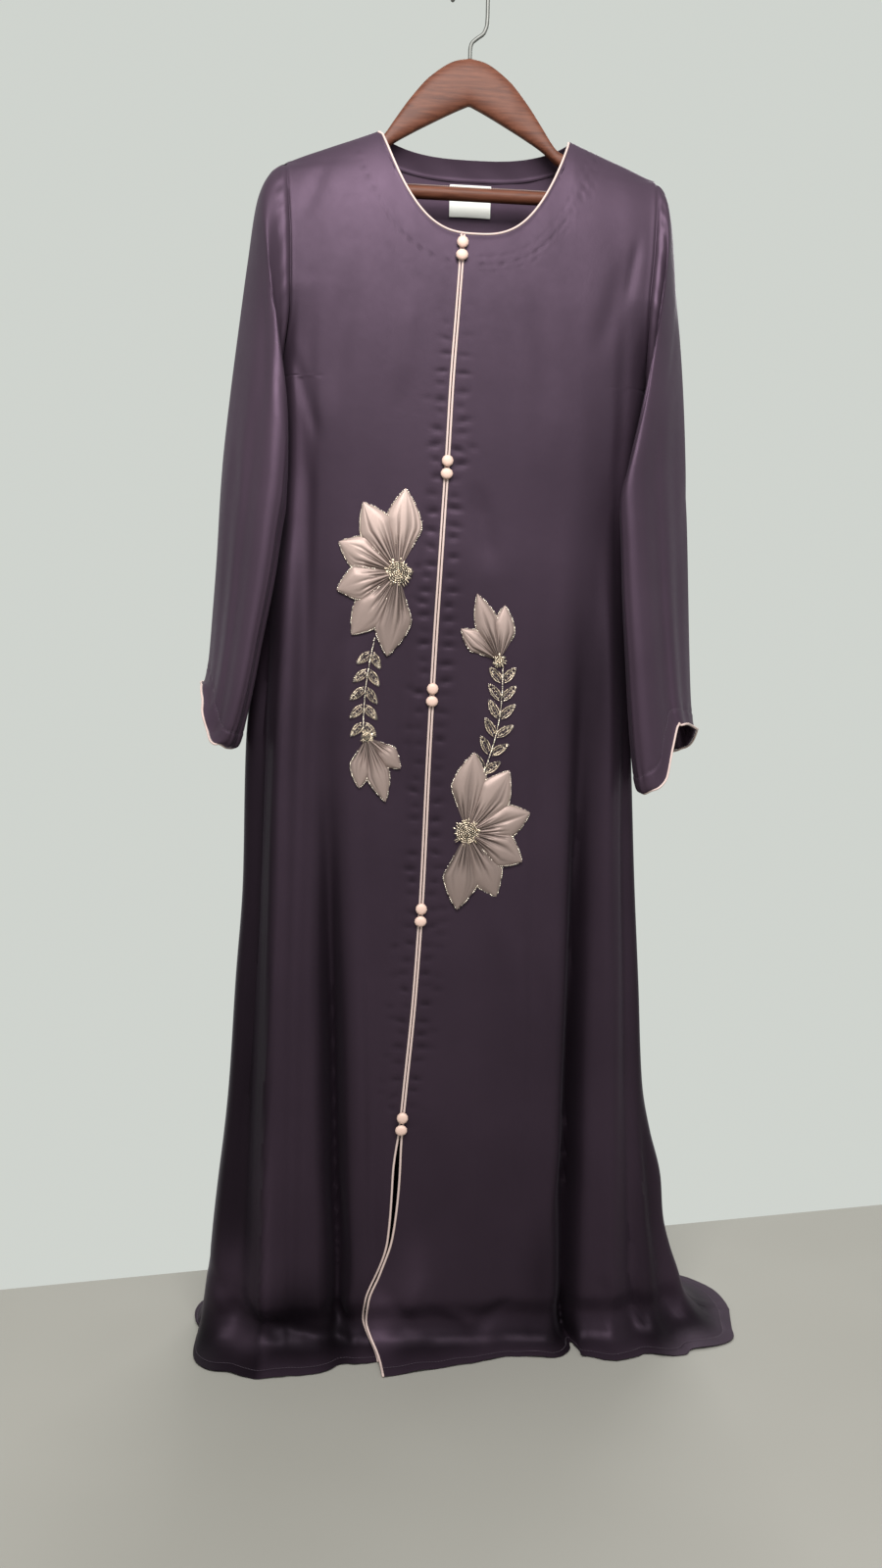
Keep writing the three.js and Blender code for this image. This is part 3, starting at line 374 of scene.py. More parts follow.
# Middle line of the hook's wire, as place across and height: shank, then the bend's free end
HOOK_SHANK = [(0, -98), (0, -86), (1.5, -80), (8, -74.5), (14.5, -70), (BEND - 0.6, -62),
              (BEND, -52), (BEND, -34)]
HOOK_END = [(-BEND - 0.4, -26), (-BEND - 1.2, -33)]
HOOK_TIP = [(-BEND - 1.4, -34.5), (-BEND - 1.6, -36), (-BEND - 1.9, -38.5)]
TIP_RADII = (2.9, 2.9, 1.6)


# Shape of the body, worked out as in the solids
def shoulder_z(x):
    """Height of the shoulder line."""
    return NECK_TOP - SHOULDER_FALL * np.maximum(0, np.abs(x - NECK_MID) - NECK_HALF)


def top_z(face, x):
    """Height of a panel's top edge, with the neck cut out of it."""
    across = np.abs(x - NECK_MID) / NECK_HALF
    deep = NECK_FRONT if face < 0 else NECK_BACK
    inside = NECK_TOP - deep * (1 - np.minimum(across, 1) ** NECK_POWER)
    return np.where(across >= 1, shoulder_z(x), inside)


def armhole_depth(side, z):
    """Half depth of the armhole at a height."""
    tip = float(SLEEVE[side](0)["oz"])
    half = (tip + UNDERARM) / 2
    c = (z - (tip - UNDERARM) / 2) / half
    return ARM_DEEP * np.sqrt(np.maximum(0, 1 - c * c))


# Heights of the sections, shares along each, and steps round it
SECTION_Z = np.concatenate([np.arange(-150, -300, -1.0), np.arange(-300, -1521, -3.0)])
SECTION_SHARES = np.linspace(0, 1, 361)
SECTION_STEPS = 220


def section_rows(face, side):
    """Points across every section of a half panel, evenly spaced along the cloth."""
    z = SECTION_Z[:, None]
    drop = -SECTION_Z
    b = {k: v[:, None] for k, v in BODY(drop).items()}
    e = {k: v[:, None] for k, v in EDGE(drop).items()}
    power = ROUND(drop)["power"][:, None]
    x0 = b["edge"] + side * e[SIDES[side]] if face < 0 else b["spine"]
    x1 = b[SIDES[side]]
    y1 = b["seam"] + face * SEAM / 2
    full = b["front"] if face < 0 else b["back"]

    def depth(x):
        h = np.maximum(shoulder_z(x) - z, 0)
        return np.maximum(full * np.tanh(np.sqrt(h / SHOULDER_SOFT)), SEAM / 2)

    cut = np.minimum(armhole_depth(side, z) / depth(x1), 0.93)
    cut = np.where(drop[:, None] < UNDERARM, cut, 0)
    kept = (1 - cut ** power) ** (1 / power)
    reach = (x1 - x0) / kept
    angle = np.linspace(0, 1, SECTION_STEPS + 1)[None] * np.arctan2(kept, cut)
    s, c = np.sin(angle), np.maximum(np.cos(angle), 0)
    r = (s ** power + c ** power) ** (-1 / power)
    x = x0 + reach * r * s
    behind = 0
    if face < 0 and side < 0:
        behind = e["behind"] * (1 - smooth(0, 0.12, r * s))
    y = y1 + (face * depth(x) - y1) * r * c + behind
    dx, dy = np.gradient(x, axis=1), np.gradient(y, axis=1)
    size = np.maximum(np.hypot(dx, dy), 1e-9)
    nx, ny = -dy * side * face / size, dx * side * face / size
    out = np.zeros_like(x)
    d = drop[:, None]
    for top, low, half, deep, start, whole in own(FOLDS + FINE_FOLDS, face, side):
        line = top + (low - top) * (d - start) / (LINE_END - start)
        away = np.minimum(np.abs(x - line) / half, 1)
        wave = np.cos(away * math.pi / 2) ** 2
        out -= deep * wave * smooth(start, whole, d) * (d >= start)
    out *= smooth(0, SEAM_CALM, np.abs(x - x1))
    if face < 0 and side < 0:
        out *= 1 - HEM_CALM * smooth(*CALM_DROPS, d) * (1 - smooth(*CALM_ACROSS, x))
    x, y = x + nx * out, y + ny * out
    run = np.cumsum(np.hypot(np.diff(x, axis=1), np.diff(y, axis=1)), axis=1)
    run = np.concatenate([np.zeros((len(drop), 1)), run], axis=1)
    made = np.zeros((len(drop), len(SECTION_SHARES), 2))
    for j in range(len(drop)):
        want = SECTION_SHARES * run[j, -1]
        made[j, :, 0] = np.interp(want, run[j], x[j])
        made[j, :, 1] = np.interp(want, run[j], y[j])
    return made


SECTIONS = {(f, s): section_rows(f, s) for f in (-1, 1) for s in (-1, 1)}


def row_at(z):
    """Row of the sections at a height, and the share of the way to the next."""
    fj = np.interp(-z, -SECTION_Z, np.arange(len(SECTION_Z)))
    j = np.minimum(fj.astype(int), len(SECTION_Z) - 2)
    return j, fj - j


def along(face, side, share, z):
    """Place across and depth at a share of the section and a height."""
    rows = SECTIONS[face, side]
    share, z = np.broadcast_arrays(np.asarray(share, float), np.asarray(z, float))
    j, tj = row_at(z)
    fi = np.clip(share, 0, 1) * (len(SECTION_SHARES) - 1)
    i = np.minimum(fi.astype(int), len(SECTION_SHARES) - 2)
    tj, ti = tj[..., None], (fi - i)[..., None]
    upper = rows[j, i] * (1 - ti) + rows[j, i + 1] * ti
    lower = rows[j + 1, i] * (1 - ti) + rows[j + 1, i + 1] * ti
    return upper * (1 - tj) + lower * tj


def level_out(face, side, share):
    """Direction in which the hem lies out over the floor."""
    a = along(face, side, share - 0.09, -BREAK_DROP)
    b = along(face, side, share + 0.09, -BREAK_DROP)
    d = unit(together(-(b - a)[..., 1], (b - a)[..., 0]) * side * face)
    if face < 0 and side < 0:
        d[..., 0] *= 0.12
        d[..., 1] = -1
        d = unit(d)
    d[share > 0.999] = (side, 0)
    return d


def body_point(face, side, share, drop):
    """Outer surface of the body at a share across and a drop along the cloth."""
    share, drop = np.broadcast_arrays(np.asarray(share, float), np.asarray(drop, float))
    low = BREAK(drop)
    z = np.where(drop < BREAK_DROP, -drop, low["z"])
    reach = np.where(drop < BREAK_DROP, 0, low["share"])
    p = along(face, side, share, z)
    key = ("front" if face < 0 else "back") + SIDES[side]
    out = level_out(face, side, share) * (REACH(share)[key] * reach)[..., None]
    return np.concatenate([p + out, z[..., None]], axis=-1)


def top_drop(face, side, share):
    """Drop of the top edge at shares across a half panel."""
    z = np.full(np.shape(share), -250.0)
    for _ in range(30):
        z += (top_z(face, along(face, side, share, z)[..., 0]) - z) * 0.7
    return -z


def neck_share(face, side):
    """Share across a half panel where the neck meets the shoulder."""
    low, high = 0.2, 0.9
    for _ in range(40):
        mid = (low + high) / 2
        x = float(along(face, side, mid, NECK_TOP)[0])
        if abs(x - NECK_MID) < NECK_HALF:
            low = mid
        else:
            high = mid
    return (low + high) / 2


def grid_normals(points, closed=False):
    """Unit normals of a grid of points, by its own two directions."""
    if closed:
        wide = np.concatenate([points[:, -1:], points, points[:, :1]], axis=1)
        across = (wide[:, 2:] - wide[:, :-2]) / 2
    else:
        across = np.gradient(points, axis=1)
    down = np.gradient(points, axis=0)
    return unit(np.cross(across, down))


def clustered(count, first, last):
    """Places from 0 to 1, closer together at the ends where first or last is above 0."""
    t = np.linspace(0, 1, 400)
    dense = 1 + first * np.exp(-t / 0.06) + last * np.exp(-(1 - t) / 0.06)
    total = np.concatenate([[0], np.cumsum((dense[1:] + dense[:-1]) / 2)])
    return np.interp(np.linspace(0, total[-1], count), total, t)


# Small dents of the cloth, as place, half length, half width, turn and depth. Down the closing:
# columns by distance from its line, half length and share kept, and the first and last drop,
# with the ways over which the dents grow and fade. Round the neck: rings by distance from its
# edge and depth.
PLACKET_COLUMNS = ((12, 5.6, 1), (24, 5, 0.28))
PLACKET_DROPS = (330, 1290)
PLACKET_FADES = (230, 90)
NECK_RINGS = ((31, 1.15), (22, 0.5), (38, 0.5))


def placket_marks(side):
    """Short level puckers down both stitched bands beside the closing line."""
    marks = []
    first, last = PLACKET_DROPS
    grow, die = PLACKET_FADES
    for column, (away, half, share) in enumerate(PLACKET_COLUMNS):
        drop = first + column * 7
        while drop < last:
            drop += rng.uniform(12, 22)
            strong = smooth(first, first + grow, drop) * (1 - smooth(last - die, last, drop))
            if rng.random() > share:
                continue
            edge = float(BODY(drop)["edge"])
            x = edge + side * (away + rng.normal(0, 1.8))
            depth = strong * rng.uniform(0.45, 2.0) * (1 if column == 0 else 0.5)
            marks.append((x, -drop, half * rng.uniform(0.75, 1.3), rng.uniform(2.3, 3.1),
                          rng.normal(0, 8), depth))
    return marks


def neck_marks(side):
    """Tacking puckers round the neck, where the hidden facing is held."""
    marks = []
    for ring, (away, deep) in enumerate(NECK_RINGS):
        if ring and side < 0:
            continue
        t = 0.06
        while t < 0.98:
            x = NECK_MID + side * NECK_HALF * t
            z = float(top_z(-1, np.array(x)))
            slope = NECK_FRONT * NECK_POWER * t ** (NECK_POWER - 1) / NECK_HALF
            n = np.array([side * slope, -1.0]) / math.hypot(slope, 1)
            turn = math.degrees(math.atan2(slope * side, 1)) + rng.normal(10 * side, 12)
            marks.append((x + n[0] * away, z + n[1] * away, rng.uniform(2.4, 4),
                          rng.uniform(1.2, 1.7), turn, deep * rng.uniform(0.3, 1.2)))
            t += rng.uniform(6.5, 12) / math.hypot(1, slope) / NECK_HALF
    return marks


# Longer creases: side, ends, half width, depth inwards
CREASES = [
    (-1, (-188, -420), (-158, -520), 6, 1.6),
    (-1, (-172, -455), (-166, -560), 5, -1.2),
    (-1, (-120, -330), (-150, -480), 14, 1.6),
    (-1, (-60, -350), (-74, -470), 12, -1.2),
    (-1, (-150, -210), (-186, -300), 9, 1.3),
    (-1, (-35, -560), (-48, -700), 9, 1.3),
    (-1, (-120, -700), (-160, -800), 10, 1.5),
    (-1, (-140, -1290), (-110, -1470), 10, 3.0),
    (-1, (-272, -1430), (-222, -1500), 9, 4.0),
    (-1, (-222, -1480), (-100, -1508), 7, 3.0),
    (-1, (-250, -1440), (-196, -1512), 8, 3.2),
    (-1, (-232, -1400), (-246, -1480), 7, -2.4),
    (-1, (-140, -1462), (-104, -1500), 8, 3.0),
    (1, (185, -285), (172, -360), 5, 1.4),
    (1, (176, -300), (140, -420), 12, 1.4),
    (1, (70, -330), (96, -480), 16, 1.4),
    (1, (12, -560), (30, -650), 12, 1.6),
    (1, (16, -930), (60, -1100), 14, -1.6),
    (1, (60, -1010), (100, -1150), 14, 1.8),
    (1, (-30, -1260), (0, -1400), 14, 2.0),
    (1, (-78, -1440), (-40, -1502), 8, 3.0),
    (1, (-10, -1470), (40, -1500), 8, -2.5),
    (1, (-30, -1430), (-66, -1500), 9, -2.8),
    (1, (70, -1460), (20, -1506), 9, 3.0),
    (1, (170, -1440), (200, -1508), 9, 3.0),
    (1, (130, -1300), (96, -1490), 12, 3.5),
]


def dents(x, z, marks):
    """Depth of the small dents at places seen from the front."""
    deep = np.zeros_like(x)
    for mx, mz, long, wide, turn, depth in marks:
        near = (np.abs(x - mx) < 3 * long) & (np.abs(z - mz) < 3 * long)
        if not near.any():
            continue
        a = math.radians(turn)
        dx, dz = x[near] - mx, z[near] - mz
        u = (dx * math.cos(a) + dz * math.sin(a)) / long
        v = (-dx * math.sin(a) + dz * math.cos(a)) / wide
        deep[near] += depth * np.exp(-u * u - v * v)
    return deep


def crease(x, z, a, b, half, depth):
    """A soft trough along a line, dying out at its ends."""
    a, b = np.array(a, float), np.array(b, float)
    run = b - a
    t = ((x - a[0]) * run[0] + (z - a[1]) * run[1]) / (run @ run)
    inside = np.clip(t, 0, 1)
    away = np.hypot(x - a[0] - inside * run[0], z - a[1] - inside * run[1])
    ends = smooth(-0.1, 0.35, t) * (1 - smooth(0.65, 1.1, t))
    return depth * bell(away, half) * ends


def ripple(x, z, seed):
    """Slow unevenness of hanging cloth."""
    local = np.random.default_rng(seed)
    total = np.zeros_like(x)
    for _ in range(9):
        wave, long = local.uniform(28, 90), local.uniform(260, 700)
        lean = local.uniform(-0.08, 0.08)
        phase = local.uniform(0, 2 * math.pi, 2)
        wide = np.sin(2 * math.pi * (x + lean * z) / wave + phase[0])
        tall = np.cos(2 * math.pi * z / long + phase[1])
        total += local.uniform(0.1, 0.28) * wide * tall
    return total


MARKS = {(-1, s): placket_marks(s) + neck_marks(s) for s in (-1, 1)}
MARKS[1, -1] = MARKS[1, 1] = []


def relief(face, side, share, x, z, drop):
    """Height of the cloth's fine form over its smooth shape."""
    high = ripple(x, z, 100 + 10 * face + side) * (0.35 + 0.65 * smooth(420, 900, drop))
    seam = (1 - share) * 250
    high += 0.35 * bell(seam - 4.5, 2.4) - bell(seam, 1.6)
    high += 0.3 * smooth(HEM_LINE, HEM_LINE + 3, drop) - 0.5 * bell(drop - HEM_LINE, 1.4)
    if face < 0:
        for row in own(CREASES, side):
            high -= crease(x, z, *row)
        high += 0.45 * bell(top_z(face, x) - z, 3.2) * (np.abs(x - NECK_MID) < NECK_HALF)
    return high


# Painted shade in the folds' troughs and on the strip between the left front's ridge and its
# side seam: face, side, line at its top and at the hem, half width, strength, drops where it
# starts and is full. Half widths below 0 fill to the seam.
PAINTED_FOLD_SHADES = [
    (-1, -1, -192, -210, -4, 0.6, 580, 740),
    (-1, -1, -152, -124, 17, 0.55, 700, 1150),
    (-1, 1, 139, 132, 15, 0.6, 640, 1050),
    (-1, 1, 196, 236, 14, 0.4, 620, 1050),
    (1, -1, -160, -187, 16, 0.4, 560, 1100),
    (1, -1, -63, -84, 16, 0.4, 480, 1100),
    (1, 1, 41, 52, 16, 0.4, 520, 1100),
    (1, 1, 144, 172, 16, 0.4, 600, 1100),
]

# Painted light and shade of the panels by drop: painted lighter on the shoulders, darker below
PANEL_PAINTED_LIGHT_AND_SHADE = table(["panel"], [
    [150, 1.35],
    [225, 1.25],
    [290, 0.9],
    [345, 0.74],
    [470, 0.63],
    [620, 0.72],
    [770, 0.64],
    [990, 0.68],
    [1310, 0.62],
    [1560, 0.66],
])

# Painted shade on places of the front, such as the hollows above the break over the floor, or
# painted highlights where the strength is below 0:
# side, place across, drop, half widths, strength
PAINTED_SHADE_AND_HIGHLIGHTS = [
    (-1, -172, 1470, 40, 34, 0.7),
    (-1, -128, 1490, 30, 24, 0.5),
    (-1, -192, 1494, 26, 20, 0.6),
    (-1, -242, 1444, 30, 44, -1.5),
    (-1, -224, 1506, 24, 15, -1.2),
    (-1, -212, 1350, 10, 80, -0.7),
    (-1, -186, 540, 16, 90, -0.8),
    (-1, -212, 790, 12, 70, -0.9),
    (1, 178, 560, 18, 90, -0.7),
    (1, 150, 760, 40, 110, 0.3),
    (1, 104, 1450, 20, 70, 0.4),
    (1, -80, 1468, 20, 28, -0.9),
    (1, -41, 1430, 18, 50, -0.3),
]

# Places where the painted dark band over the cloth's break is lifted, as painted highlights: side,
# place across, half width, share of the light that is left
GLEAMS = [
    (-1, -240, 24, 0.8),
    (1, -78, 17, 0.9),
    (1, 40, 22, 0.35),
    (1, 190, 30, 0.5),
]


def painted_panel_shading(face, side, x, drop):
    """Painted light and shade at places of a panel, as a factor on the satin's colour."""
    left = PANEL_PAINTED_LIGHT_AND_SHADE(drop)["panel"]
    lit = np.zeros_like(x)
    if face < 0:
        for place, wide, share in own(GLEAMS, side):
            lit = np.maximum(lit, share * bell(x - place, wide))
    # Painted dark band where the cloth breaks over the floor, lifted at the painted highlights
    left = left * (1 - BAND_PAINTED_SHADE * (1 - lit) * bell(drop - BAND_DROP, BAND_HALF))
    # Painted shade in hollows of the front, and painted highlights where the strength is below 0
    if face < 0:
        for place, low, wide, tall, strong in own(PAINTED_SHADE_AND_HIGHLIGHTS, side):
            left = left * (1 - strong * bell(x - place, wide) * bell(drop - low, tall))
    # Painted shade in the folds' troughs
    for top, low, half, strong, start, full in own(PAINTED_FOLD_SHADES, face, side):
        line = top + (low - top) * (drop - start) / (LINE_END - start)
        if half < 0:
            near = smooth(half, -half, (x - line) * side)
        else:
            near = bell(x - line, half)
        left *= 1 - strong * near * smooth(start, full, drop)
    return left


# Rows of the panels below the underarm, by face: first, end and step of each run of drops
LOW_RUNS = {
    -1: ((453, 1300, 3.1), (1300, 1478, 4), (1480, 1556.1, 2.7)),
    1: ((457, 1440, 7.5), (1446, 1478, 5), (1480, 1556.1, 3.6)),
}
LOW_DROPS = {face: np.concatenate([np.arange(*run) for run in runs])
             for face, runs in LOW_RUNS.items()}
# Columns of the panels, by face: count and crowding inside the neck, then beside it
COLUMNS = {-1: ((42, 0.4, 0.8), (34, 0.3, 2.4)), 1: ((22, 0, 1.2), (28, 0.3, 2.0))}


def half_panel(face, side):
    """Grids of a half panel: outer points, normals, and the cloth's own coordinates."""
    neck = neck_share(face, side)
    inside, beside = COLUMNS[face]
    first = neck * clustered(*inside)
    rest = neck + (1 - neck) * clustered(*beside)
    shares = np.concatenate([first, rest[1:]])
    tops = top_drop(face, side, shares)
    fan_rows = FAN_ROWS if face < 0 else FAN_ROWS // 2
    fan = (1 - np.cos(math.pi * np.arange(fan_rows + 1) / fan_rows)) / 2
    fan_drop = tops[None] + (UNDERARM - tops[None]) * fan[:, None]
    low = LOW_DROPS[face]
    low_drop = np.repeat(low[:, None], len(shares), axis=1)
    drop = np.concatenate([fan_drop, low_drop])
    share = np.repeat(shares[None], len(drop), axis=0)
    p = body_point(face, side, share, drop)
    n = grid_normals(p) * (1 if face * side > 0 else -1)
    n[:, -1, 1] = 0
    edge = n[:fan_rows + 1, -1, 0]
    n[:fan_rows + 1, -1, 0] = np.where(edge * side < 0, 0, edge)
    n[fan_rows + 1:, -1] = (side, 0, 0)
    n[0, len(first) - 1:] = (side * SHOULDER_FALL, 0, 1)
    n = unit(n)
    small = dents(p[..., 0], p[..., 2], MARKS[face, side])
    high = relief(face, side, share, p[..., 0], p[..., 2], drop) - small
    # Painted light and shade of the panel, with painted shade in the small dents
    shade = painted_panel_shading(face, side, p[..., 0], drop) * (1 - DENT_PAINTED_SHADE * np.clip(small, 0, 2))
    p = p + n * high[..., None]
    cloth = together(run_along(p, 1) * side, -drop)
    return {"points": p, "normals": n, "cloth": cloth, "shade": shade[..., None],
            "neck": len(first) - 1, "shares": shares}


def volume(points, faces):
    """Signed volume inside a closed mesh, below 0 where its faces look inwards."""
    total = 0
    local = points - points.mean(axis=0)
    for count in (3, 4):
        corners = local[np.array([f for f in faces if len(f) == count], int).reshape(-1, count)]
        for k in range(1, count - 1):
            total += np.einsum("ij,ij", corners[:, 0], np.cross(corners[:, k], corners[:, k + 1]))
    return total


def make_mesh(name, points, faces, material, uv=None, sharp=None, shade=None):
    """One object from points in millimetres, smooth but for edges over the sharp angle."""
    points = np.asarray(points, float)
    faces = [tuple(f) for f in faces]
    if volume(points, faces) < 0:
        faces = [f[::-1] for f in faces]
    mesh = bpy.data.meshes.new(name)
    mesh.from_pydata((points * MM).tolist(), [], faces)
    mesh.update()
    mesh.polygons.foreach_set("use_smooth", np.ones(len(mesh.polygons), bool))
    if sharp:
        mesh.set_sharp_from_angle(angle=math.radians(sharp))
    if uv is not None:
        layer = mesh.uv_layers.new(name="cloth")
        at = np.zeros(len(mesh.loops), int)
        mesh.loops.foreach_get("vertex_index", at)
        layer.data.foreach_set("uv", (np.asarray(uv)[at] * MM).astype(np.float32).ravel())
    # Painted light and shade kept per point: a factor on the satin's colour, 1 where none is given
    painted_light_and_shade = mesh.attributes.new("shade", "FLOAT", "POINT")
    values = np.ones(len(mesh.vertices)) if shade is None else shade
    painted_light_and_shade.data.foreach_set("value", np.asarray(values, np.float32))
    mesh.materials.append(material)
    obj = bpy.data.objects.new(name, mesh)
    bpy.context.scene.collection.objects.link(obj)
    return obj


def quads(h, w, start=0, closed=False, flip=False, looped=False):
    """Faces of a grid of points: closed joins its last column to the first, looped its rows."""
    rows, columns = np.arange(h if looped else h - 1), np.arange(w if closed else w - 1)
    j, i = np.meshgrid(rows, columns, indexing="ij")
    k, m = (i + 1) % w, (j + 1) % h
    a, b = start + j * w + i, start + m * w + i
    c, d = start + m * w + k, start + j * w + k
    order = [a, d, c, b] if flip else [a, b, c, d]
    return np.stack([q.ravel() for q in order], axis=1)


def capped(h, w):
    """Faces of a closed round grid and of its two end points, which follow the grid."""
    faces = quads(h, w, closed=True).tolist()
    n, last = h * w, (h - 1) * w
    for i in range(w):
        k = (i + 1) % w
        faces += [(n, i, k), (n + 1, last + k, last + i)]
    return faces


def strip(upper, lower):
    """Faces between two equal lists of points."""
    return np.stack([upper[:-1], upper[1:], lower[1:], lower[:-1]], axis=1)


def cloth_mesh(name, outer, inner, material, cloth, closed=False, shade=None):
    """A closed thin shell from its outer and inner grids."""
    h, w = outer.shape[:2]
    points = np.concatenate([outer.reshape(-1, 3), inner.reshape(-1, 3)])
    uv = np.concatenate([cloth.reshape(-1, 2)] * 2)
    index = np.arange(h * w).reshape(h, w)
    other = index + h * w
    faces = [quads(h, w, 0, closed), quads(h, w, h * w, closed, flip=True)]
    ring = np.concatenate([index, index[:, :1]], axis=1) if closed else index
    back = np.concatenate([other, other[:, :1]], axis=1) if closed else other
    faces += [strip(ring[0], back[0]), strip(back[-1], ring[-1])]
    if not closed:
        faces += [strip(back[:, 0], ring[:, 0]), strip(ring[:, -1], back[:, -1])]
    if shade is not None:
        shade = np.concatenate([shade.ravel()] * 2)
    return make_mesh(name, points, np.concatenate(faces).tolist(), material, uv, 50, shade)


def worn(obj, slot, *nodes):
    """The piece rides on the one body and stands for its solids."""
    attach(obj, "root")
    if nodes:
        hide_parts(*nodes)
    return obj


# Materials
def new_material(name, **values):
    """A material, its node tree and its shader, with the shader's own values set."""
    material = bpy.data.materials.new(name)
    material.use_nodes = True
    shader = material.node_tree.nodes["Principled BSDF"]
    for key, value in values.items():
        shader.inputs[key.replace("_", " ")].default_value = value
    return material, material.node_tree, shader


def add(tree, kind, sources=None, **values):
    """A node with its links; a value that starts with a capital belongs to an input."""
    node = tree.nodes.new("ShaderNode" + kind)
    for key, value in values.items():
        if key[0].isupper():
            node.inputs[key.replace("_", " ")].default_value = value
        else:
            setattr(node, key, value)
    for key, source in (sources or {}).items():
        tree.links.new(source, node.inputs[key])
    return node


def texture(tree, kind, **values):
    """A node that reads the object's own coordinates."""
    place = add(tree, "TexCoord").outputs["Object"]
    return add(tree, kind, {"Vector": place}, **values)


def ramp(tree, source, *stops):
    """Colour read from a ramp: each stop is a place and its colour."""
    node = add(tree, "ValToRGB", {"Fac": source})
    elements = node.color_ramp.elements
    for element, (place, colour) in zip(elements, (stops[0], stops[-1])):
        element.position = place
        element.color = (*colour, 1)
    for place, colour in stops[1:-1]:
        elements.new(place).color = (*colour, 1)
    return node.outputs["Color"]


def vary_roughness(tree, shader, source, low, high):
    """Lets a texture move the roughness between two values."""
    spread = add(tree, "MapRange", {"Value": source.outputs["Fac"]}, To_Min=low, To_Max=high)
    tree.links.new(spread.outputs["Result"], shader.inputs["Roughness"])


def bump(tree, shader, source, strength, distance, under=None):
    """A fine bump, laid over another one where that is given."""
    sources = {"Height": source.outputs["Fac"]}
    if under:
        sources["Normal"] = under.outputs["Normal"]
    node = add(tree, "Bump", sources, Strength=strength, Distance=distance)
    tree.links.new(node.outputs["Normal"], shader.inputs["Normal"])
    return node


def satin_material(name, dark, light, roughness, sheen, tint, gloss, edge, weave=1.0):
    """Satin: soft colour drift times painted light and shade, a fine twill of threads, and a brushed
    gloss.
    """
    material, tree, shader = new_material(
        name, Sheen_Weight=sheen, Sheen_Roughness=0.42, Sheen_Tint=(*tint, 1), Metallic=gloss,
        Specular_IOR_Level=0.2, Specular_Tint=(*edge, 1))
    drift = texture(tree, "TexNoise", Scale=7, Detail=3)
    colour = ramp(tree, drift.outputs["Fac"], (0.3, dark), (0.7, light))
    # Painted light and shade, kept on each mesh as its shade attribute, scales the colour
    painted_light_and_shade = add(tree, "Attribute", attribute_name="shade").outputs["Fac"]
    shaded_colour = add(tree, "VectorMath", {0: colour, "Scale": painted_light_and_shade}, operation="SCALE")
    tree.links.new(shaded_colour.outputs["Vector"], shader.inputs["Base Color"])
    threads = add(tree, "Mapping", {"Vector": add(tree, "TexCoord").outputs["UV"]},
                  Scale=(1500, 2600, 1), Rotation=(0, 0, math.radians(24)))
    twill = add(tree, "TexWave", {"Vector": threads.outputs["Vector"]}, Scale=0.32,
                Distortion=1.2, Detail=2)
    slub = texture(tree, "TexNoise", Scale=90, Detail=4)
    vary_roughness(tree, shader, slub, roughness - 0.05, roughness + 0.06)
    fine = bump(tree, shader, twill, 0.22 * weave, 0.00012)
    bump(tree, shader, slub, 0.16, 0.0006, fine)
    return material


def bead_material(name, colour, roughness):
    """Small metal-lined glass beads: each spot a little different."""
    material, tree, shader = new_material(
        name, Metallic=0.85, Roughness=roughness, Coat_Weight=0.5, Coat_Roughness=0.08)
    spots = texture(tree, "TexVoronoi", Scale=420)
    lit = tuple(min(c * 1.45, 1) for c in colour)
    deep = tuple(c * 0.3 for c in colour)
    split = add(tree, "SeparateColor", {"Color": spots.outputs["Color"]})
    spotted = ramp(tree, split.outputs["Red"], (0.1, deep), (0.5, colour), (0.9, lit))
    tree.links.new(spotted, shader.inputs["Base Color"])
    return material


def wood_material():
    """Red-brown stained wood under a satin varnish, with grain along the arms."""
    material, tree, shader = new_material(
        "stained_wood", Specular_IOR_Level=0.2, Coat_Weight=0.05, Coat_Roughness=0.3)
    stretch = texture(tree, "Mapping", Scale=(6, 60, 75))
    grain = add(tree, "TexNoise", {"Vector": stretch.outputs["Vector"]}, Scale=4, Detail=9,
                Roughness=0.62, Distortion=0.6)
    stain = ramp(tree, grain.outputs["Fac"], (0.28, (0.062, 0.019, 0.011)),
                 (0.5, (0.108, 0.036, 0.020)), (0.74, (0.160, 0.058, 0.034)))
    tree.links.new(stain, shader.inputs["Base Color"])
    vary_roughness(tree, shader, grain, 0.47, 0.55)
    bump(tree, shader, grain, 0.12, 0.0004)
    return material


def steel_material():
    """Brushed steel, worn a little unevenly."""
    material, tree, shader = new_material(
        "brushed_steel", Base_Color=(0.17, 0.172, 0.163, 1), Metallic=1.0)
    vary_roughness(tree, shader, texture(tree, "TexNoise", Scale=180, Detail=4), 0.5, 0.62)
    return material


def woven_material(name, dark, light, scale):
    """Plain matt weave for the label, thread, the painted shade under the beads and the grip strip."""
    material, tree, shader = new_material(name, Roughness=0.8, Sheen_Weight=0.2)
    weave = texture(tree, "TexChecker", Scale=scale, Color1=(*dark, 1), Color2=(*light, 1))
    tree.links.new(weave.outputs["Color"], shader.inputs["Base Color"])
    bump(tree, shader, weave, 0.25, 0.0002)
    return material


SATIN = satin_material("violet_satin", (0.046, 0.030, 0.045), (0.057, 0.037, 0.0555), 0.42, 0.04,
                       (0.62, 0.52, 0.66), 0.42, (0.42, 0.36, 0.45))
BLUSH = satin_material("blush_satin", (0.62, 0.43, 0.36), (0.70, 0.50, 0.43), 0.5, 0.1,
                       (1.0, 0.9, 0.86), 0.1, (1, 1, 1), 0.6)
PIPING = satin_material("piping_satin", (0.52, 0.395, 0.365), (0.60, 0.465, 0.435), 0.5, 0.1,
                        (1.0, 0.92, 0.92), 0.1, (1, 1, 1), 0.6)
PETAL = satin_material("petal_satin", (0.36, 0.272, 0.245), (0.43, 0.328, 0.298), 0.4, 0.1,
                       (0.95, 0.86, 0.82), 0.28, (0.8, 0.7, 0.66), 0.7)
GOLD = bead_material("gold_beads", (0.68, 0.57, 0.44), 0.22)
